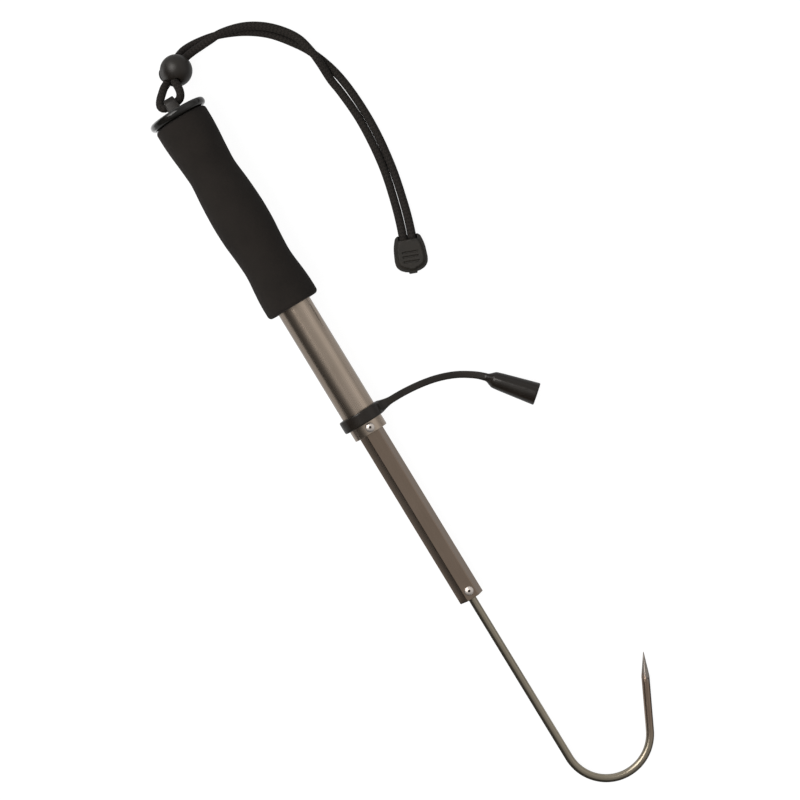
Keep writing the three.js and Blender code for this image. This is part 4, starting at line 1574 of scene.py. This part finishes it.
@dataclass
class BallLock:
    """The ball with a tunnel for both strands, and the sprung button across it."""

    radius: float = 10.0
    centre: Point3 = (-22.6, 13.2, 12.5)
    along: Point3 = (-0.58, 0.706, -0.407)
    press: Point3 = (-0.198, -0.63, -0.745)
    button_radius: float = 5.0
    button_low: float = -5.2
    button_shoulder: float = 11.8
    button_top: float = 12.2
    gap: float = 0.3
    button_well: float = -7.1
    spring_well: Point2 = (-8.5, 3.6)
    clear: float = 14.0
    skin: float = 0.24
    tunnel: tuple[Slot, ...] = (
        Slot(-11.5, (1.7, -4.6), (-1.3, 3.6), 2.95), Slot(-3.8, (0.0, -3.0), (0.0, 2.5), 2.4),
        Slot(3.8, (0.0, -3.0), (0.0, 2.5), 2.4), Slot(11.5, (1.65, -3.15), (-1.65, 4.45), 3.6))
    eyelet: tuple[Slot, ...] = (
        Slot(-14.0, (0.0, -1.2), (0.0, 4.6), 2.5), Slot(14.0, (0.0, -1.2), (0.0, 4.6), 2.5))

    def frame(self) -> Matrix:
        """Gives the lock's frame: x along its tunnel, z out through its button.

        Returns:
            The matrix from the lock's millimetres to metres in the scene.
        """
        x = Vector(self.along).normalized()
        z = Vector(self.press)
        z = (z - x * z.dot(x)).normalized()
        turn = Matrix((x, z.cross(x), z)).transposed().to_4x4()
        return REST.table() @ Matrix.Translation(self.centre) @ turn

    def build(self, kit: Kit) -> list[bpy.types.Object]:
        """Makes the ball and its button.

        Args:
            kit: The shared kit.

        Returns:
            Both pieces.
        """
        place = self.frame()
        upright = place @ Matrix.Rotation(-math.pi / 2, 4, "Y")
        rows = 64
        arc = [(-self.radius * math.cos(math.pi * k / rows), self.radius * math.sin(math.pi * k / rows))
               for k in range(rows + 1)]
        ball = lathe_piece("lock_ball", arc, upright, 96)
        side = self.button_radius + self.gap
        floor, narrow = self.spring_well
        bore = lathe_piece("bore", [
            (floor, 0.0), (floor, narrow), (self.button_well, narrow), (self.button_well, side),
            (self.clear, side), (self.clear, 0.0)], upright, 72)
        tunnel = sweep_piece("tunnel", [slot.ring() for slot in self.tunnel], place)
        ball = softened(cut_away(cut_away(ball, bore), tunnel), self.skin, 4)
        dome = filleted([
            (self.button_low, 0.0, 0.0), (self.button_low, self.button_radius, 0.4),
            (self.button_shoulder, self.button_radius, 0.5), (self.button_top - 0.05, 2.2, 4.0),
            (self.button_top, 0.0, 0.0)], 8, False)
        eyelet = sweep_piece("eyelet", [slot.ring() for slot in self.eyelet], place)
        button = bevelled(cut_away(lathe_piece("lock_button", dome, upright, 72), eyelet), 0.25, 2)
        kit.stand(ball, kit.palette.ball, "handle", "ball_plastic", "cord_lock_body")
        kit.stand(button, kit.palette.button, "lock_button", "ball_plastic", "cord_lock_button")
        return [ball, button]


@dataclass
class EndClip:
    """The clip that closes over the cord's two ends: a tray and a grooved lid."""

    place: Point3 = (136.3, 82.0, 0.2)
    heading: float = -21.7
    length: float = 24.0
    half: float = 10.2
    tray_height: float = 6.1
    pocket_end: float = 16.2
    pocket_half: float = 5.8
    pocket_floor: float = 1.1
    rim: tuple[float, ...] = (1.7, 1.2, 6.15, 7.1)
    panel: tuple[float, ...] = (2.5, 0.9, 6.9, 8.15)
    groove_shares: tuple[float, ...] = (0.435, 0.55, 0.68)
    groove_width: float = 1.2
    groove_half: float = 5.0
    groove_floor: float = 7.3
    clear: float = 9.0
    skins: Point3 = (0.2, 0.18, 0.16)
    cord_exit: Point3 = (0.0, 2.6, 3.7)
    outline: tuple[Point2, ...] = (
        (0, 0.58), (0.05, 0.75), (0.11, 0.82), (0.3, 0.945), (0.5, 0.99), (0.66, 1),
        (0.78, 0.94), (0.88, 0.74), (0.94, 0.46), (0.955, 0.26), (1, 0.24))

    def frame(self) -> Matrix:
        """Gives the clip's frame: x away from the cord's mouth, flat on the table."""
        return (REST.table() @ Matrix.Translation(self.place)
                @ Matrix.Rotation(math.radians(self.heading), 4, "Z"))

    def slab(self, name: str, inset: float, front: float, low: float, high: float) -> bpy.types.Object:
        """Makes a slab of the clip's outline.

        Args:
            name: The object's name.
            inset: How far the outline is drawn in all round.
            front: How much further it is drawn in at the cord's mouth.
            low: Height of its underside.
            high: Height of its top.

        Returns:
            The slab.
        """
        half = [(inset + front + a * (self.length - 2 * inset - front), b * (self.half - inset))
                for a, b in self.outline]
        line = smooth_path([(x, y, 0.0) for x, y in half[:-2]], 5)
        upper = [(p.x, p.y) for p in line] + half[-2:]
        return slab_piece(name, upper + [(x, -y) for x, y in reversed(upper)], low, high, self.frame())

    def build(self, kit: Kit) -> list[bpy.types.Object]:
        """Makes the clip's tray and its lid with cross grooves.

        Args:
            kit: The shared kit.

        Returns:
            Both pieces.
        """
        place = self.frame()
        tray = self.slab("clip_tray", 0.0, 0.0, 0.0, self.tray_height)
        mouth = slab_piece("mouth", [
            (-3.0, -self.pocket_half), (self.pocket_end, -self.pocket_half),
            (self.pocket_end, self.pocket_half), (-3.0, self.pocket_half)],
            self.pocket_floor, self.clear, place)
        tray = softened(cut_away(tray, mouth), self.skins[0], 4)
        lid = self.slab("clip_lid", *self.rim)
        lid = softened(cut_away(lid, self.slab("panel", *self.panel), "UNION"), self.skins[1], 10)
        y = self.groove_half
        for share in self.groove_shares:
            near = share * self.length
            far = near + self.groove_width
            bar = slab_piece("groove", filleted([(near, -y, 0.5), (far, -y, 0.5), (far, y, 0.5),
                                                 (near, y, 0.5)], 4), self.groove_floor, self.clear, place)
            lid = cut_away(lid, bar)
        lid = softened(lid, self.skins[2], 3)
        kit.stand(tray, kit.palette.tray, "handle", "clip_plastic", "cord_end_tray")
        kit.stand(lid, kit.palette.clip, "handle", "clip_plastic", "cord_end_lid")
        return [tray, lid]


@dataclass
class Lanyard:
    """The cord with its ball lock and the clip on its ends."""

    cord: CordRoute = field(default_factory=CordRoute)
    lock: BallLock = field(default_factory=BallLock)
    clip: EndClip = field(default_factory=EndClip)
    sides: int = 20

    def build(self, kit: Kit) -> None:
        """Makes the cord first, then what is on it.

        Args:
            kit: The shared kit.
        """
        cord, line = self.make_cord(kit)
        pieces = [*self.lock.build(kit), *self.clip.build(kit), kit.nodes["cord_lock_spring"]]
        kit.keep(kit.palette.steel, "cord_lock_spring")
        tuple(self.clip.frame() @ Vector(self.clip.cord_exit))

    def make_cord(self, kit: Kit) -> tuple[bpy.types.Object, list[Vector]]:
        """Sweeps the cord with its own map for the braid.

        Args:
            kit: The shared kit.

        Returns:
            The cord and its centreline.
        """
        line = self.cord.line()
        ball = REST.table() @ Vector(self.lock.centre)
        mouth = self.clip.frame() @ Vector((0, 0, self.cord.lower[-1][2]))
        rings: list[list[Vector]] = []
        side = Vector((0, 0, 1)).cross(line[1] - line[0]).normalized()
        for k, centre in enumerate(line):
            ahead = (line[min(k + 1, len(line) - 1)] - line[max(k - 1, 0)]).normalized()
            side = (side - ahead * side.dot(ahead)).normalized()
            over = ahead.cross(side)
            radius = (self.cord.pinch(centre, ball) + self.cord.splay(centre, mouth)) * MM
            rings.append([centre + radius * (side * math.cos(a) + over * math.sin(a))
                          for a in (2 * math.pi * j / self.sides for j in range(self.sides))])
        cord = sweep_piece("lanyard_cord", rings, Matrix.Identity(4), 60.0)
        self.map_cord(cord.data, line)
        kit.stand(cord, kit.palette.cord, "handle", "cord", "lanyard_strand_lower", "lanyard_strand_upper",
                  "lanyard_eye_loop", "lanyard_pinched_lower", "lanyard_pinched_upper")
        return cord, line

    def map_cord(self, mesh: bpy.types.Mesh, line: Sequence[Vector]) -> None:
        """Lays a map along the cord: once round across, and millimetres along.

        Args:
            mesh: The swept cord, ring by ring.
            line: Its centreline.
        """
        lengths = [length / MM for length in distances(line)]
        layer = mesh.uv_layers.new(name="cord_map")
        for face in mesh.polygons:
            columns = [mesh.loops[i].vertex_index % self.sides for i in face.loop_indices]
            wraps = max(columns) - min(columns) > self.sides / 2
            for i, column in zip(face.loop_indices, columns):
                row = mesh.loops[i].vertex_index // self.sides
                turn = column / self.sides + (1.0 if wraps and column < self.sides / 2 else 0.0)
                layer.data[i].uv = (turn, lengths[min(row, len(lengths) - 1)])


# The studio.


@dataclass(frozen=True)
class PaintedReflectionPatch:
    """A patch painted into the table's glow for glossy rays alone: a dim one is painted shadow, a bright one
    a painted reflection that glows though it is no lamp.
    """

    level: float
    x: Point2
    y: Point2
    soft: float = 0.006
    slant: float = 0.0

    def share(self, shading: Shading, place: bpy.types.Node) -> bpy.types.NodeSocket:
        """Gives how much of the patch covers each place, with soft edges.

        Args:
            shading: The table's material.
            place: The node that splits the table's coordinates.

        Returns:
            One on the patch and zero away from it.
        """
        across = place.outputs["Y"]
        if self.slant:
            across = shading.math("SUBTRACT", across,
                                  shading.math("MULTIPLY", place.outputs["X"], self.slant))
        cover: bpy.types.NodeSocket | None = None
        for value, (low, high) in ((place.outputs["X"], self.x), (across, self.y)):
            for edge in (shading.spread(value, 0.0, 1.0, low, low + self.soft),
                         shading.spread(value, 1.0, 0.0, high - self.soft, high)):
                cover = edge if cover is None else shading.math("MINIMUM", cover, edge)
        return cover


@dataclass(frozen=True)
class Lamp:
    """A soft square lamp that faces the gaff."""

    name: str
    place: Point3
    size: float
    power: float
    shiny: bool
    matt: bool

    def hang(self, tint: Colour) -> None:
        """Hangs the lamp, which shows in glossy surfaces, lights matt ones, or does both.

        Args:
            tint: The light's colour.
        """
        data = bpy.data.lights.new(self.name, "AREA")
        data.shape = "SQUARE"
        data.size = self.size
        data.energy = self.power
        data.color = tint
        lamp = bpy.data.objects.new(self.name, data)
        lamp.location = self.place
        lamp.rotation_euler = (-Vector(self.place)).to_track_quat("-Z", "Y").to_euler()
        lamp.visible_glossy = self.shiny
        lamp.visible_diffuse = self.matt
        bpy.context.scene.collection.objects.link(lamp)


@dataclass
class Studio:
    """A white table under a soft tent of light, seen from straight above."""

    focal: float = 2600.0
    image: float = 800.0
    sensor: float = 36.0
    height: float = 1.604
    centre: Point2 = (-0.0206, -0.01745)
    turn: float = 58.672
    floor_size: float = 8.0
    tent_reach: float = 100.0
    tent: tuple[Point2, ...] = (
        (-100, 0.10), (-86, 0.08), (-62, 0.09), (-46, 0.14), (-32, 0.28), (-16, 0.60), (0, 0.54),
        (16, 0.62), (32, 0.72), (48, 0.98), (66, 0.94), (86, 0.50), (100, 0.45))
    tent_tint: Colour = (1.0, 0.99, 0.975)
    fill: float = 0.42
    end_dim: float = 0.35
    end_from: Point2 = (0.5, 0.88)
    floor_back: float = 0.34
    floor_pale: float = 0.15
    floor_glow: float = 0.94
    floor_shine: float = 0.66
    lamp_tint: Colour = (1.0, 0.975, 0.95)
    lamps: tuple[Lamp, ...] = (
        Lamp("soft_side", (0.0, -1.15, 1.55), 1.6, 22.5, False, True),
        Lamp("high_box", (-1.46, -0.68, 2.4), 1.7, 58.0, True, False),
        Lamp("low_box", (-1.6, -0.4, 0.75), 0.8, 4.0, True, True))
    # Painted shadow (dim levels) and painted reflections (levels above 1) in the table's glow, seen only in
    # glossy surfaces.
    painted_reflection_patches: tuple[PaintedReflectionPatch, ...] = (
        PaintedReflectionPatch(0.04, (-0.018, 0.112), (-0.36, -0.094), 0.005, 0.108),
        PaintedReflectionPatch(0.10, (0.106, 0.6), (-0.36, -0.0425), 0.004),
        PaintedReflectionPatch(0.08, (0.243, 0.6), (-0.36, 0.2), 0.006),
        PaintedReflectionPatch(0.10, (0.13, 0.6), (0.103, 0.5), 0.005, -0.39),
        PaintedReflectionPatch(1.9, (0.17, 0.236), (-0.03, 0.012), 0.02),
        PaintedReflectionPatch(2.2, (-0.34, -0.215), (-0.14, -0.058), 0.01))

    def build(self) -> None:
        """Makes the camera, the floor, the tent and the lamps."""
        self.make_camera()
        self.make_floor()
        self.make_tent()
        for lamp in self.lamps:
            lamp.hang(self.lamp_tint)
        bpy.context.scene.view_settings.view_transform = "Standard"

    def make_camera(self) -> None:
        """Sets the camera where the photograph was taken from."""
        data = bpy.data.cameras.new("studio_camera")
        data.sensor_width = self.sensor
        data.lens = self.focal * self.sensor / self.image
        camera = bpy.data.objects.new("studio_camera", data)
        camera.location = (*self.centre, self.height)
        camera.rotation_euler = (0.0, 0.0, math.radians(self.turn))
        bpy.context.scene.collection.objects.link(camera)
        bpy.context.scene.camera = camera

    def make_floor(self) -> None:
        """Lays the white table, which shows white and keeps a faint shadow; to glossy rays it glows, with
        painted shadow patches and painted reflection patches beside the gaff.
        """
        half = self.floor_size / 2
        mesh = bpy.data.meshes.new("table")
        mesh.from_pydata([(-half, -half, 0), (half, -half, 0), (half, half, 0), (-half, half, 0)], [],
                         [(0, 1, 2, 3)])
        table = add_object("table", mesh)
        s = Shading("table_white")
        s.tree.nodes.remove(s.shader)
        place = s.node("ShaderNodeSeparateXYZ", {0: s.coords.outputs["Object"]})
        # The glow that glossy rays see, with the painted shadow and painted reflection patches mixed in.
        level: bpy.types.NodeSocket | float = self.floor_shine
        for painted_patch in self.painted_reflection_patches:
            level = self.blended(s, painted_patch.share(s, place), level, painted_patch.level)
        path = s.node("ShaderNodeLightPath")
        matt = s.node("ShaderNodeBsdfDiffuse", {"Color": (self.floor_back,) * 3})
        pale = s.node("ShaderNodeBsdfDiffuse", {"Color": (self.floor_pale,) * 3})
        glow = s.node("ShaderNodeEmission", {"Strength": self.floor_glow})
        shine = s.node("ShaderNodeEmission", {"Strength": level})
        both = s.node("ShaderNodeAddShader", {0: pale, 1: glow})
        mirrored = s.node("ShaderNodeMixShader", {0: path.outputs["Is Glossy Ray"], 1: matt, 2: shine})
        seen = s.node("ShaderNodeMixShader", {0: path.outputs["Is Camera Ray"], 1: mirrored, 2: both})
        s.feed(s.tree.nodes["Material Output"].inputs["Surface"], seen)
        table.data.materials.append(s.material)

    def blended(self, shading: Shading, share: bpy.types.NodeSocket, start: bpy.types.NodeSocket | float,
                end: float) -> bpy.types.NodeSocket:
        """Gives a level that goes from a start to an end with a share."""
        left = shading.math("MULTIPLY", shading.math("SUBTRACT", 1.0, share), start)
        return shading.math("ADD", left, shading.math("MULTIPLY", share, end))

    def make_tent(self) -> None:
        """Lights the world by direction: bright above and to one side, dark low on the other."""
        world = bpy.data.worlds.new("light_tent")
        bpy.context.scene.world = world
        world.use_nodes = True
        bench = Bench(world.node_tree)
        bench.tree.nodes.clear()
        where = bench.node("ShaderNodeTexCoord")
        split = bench.node("ShaderNodeSeparateXYZ", {0: where.outputs["Generated"]})
        angle = bench.node("ShaderNodeMath", {0: split.outputs["Y"], 1: split.outputs["Z"]},
                           operation="ARCTAN2")
        share = bench.node("ShaderNodeMapRange", {
            "Value": angle, "From Min": math.radians(-self.tent_reach),
            "From Max": math.radians(self.tent_reach)})
        ramp = bench.node("ShaderNodeValToRGB", {"Fac": share})
        stops = ramp.color_ramp.elements
        while len(stops) < len(self.tent):
            stops.new(0.5)
        for stop, (degrees, level) in zip(stops, self.tent):
            stop.position = (degrees + self.tent_reach) / (2 * self.tent_reach)
            stop.color = (*(level * part for part in self.tent_tint), 1.0)
        end = bench.node("ShaderNodeMapRange", {
            "Value": split.outputs["X"], "From Min": self.end_from[0], "From Max": self.end_from[1],
            "To Min": 1.0, "To Max": self.end_dim}, interpolation_type="SMOOTHSTEP")
        mirrored = bench.node("ShaderNodeBackground", {"Color": ramp, "Strength": end})
        plain = bench.node("ShaderNodeBackground", {"Color": (self.fill,) * 3})
        white = bench.node("ShaderNodeBackground", {"Color": (1.0, 1.0, 1.0)})
        path = bench.node("ShaderNodeLightPath")
        light = bench.node("ShaderNodeMixShader", {0: path.outputs["Is Glossy Ray"], 1: plain, 2: mirrored})
        choice = bench.node("ShaderNodeMixShader", {0: path.outputs["Is Camera Ray"], 1: light, 2: white})
        bench.node("ShaderNodeOutputWorld", {"Surface": choice})


def main() -> None:
    """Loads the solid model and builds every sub-assembly."""
    logging.basicConfig(level=logging.INFO, format="%(name)s %(message)s")
    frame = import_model()
    Studio().build()
    kit = Kit(frame, Palette())
    for assembly in (Lanyard(), Handle(), InnerTube(), Hook(), Rivets(), PointProtector()):
        LOG.info("building %s", type(assembly).__name__)
        assembly.build(kit)


if __name__ == "__main__":
    main()
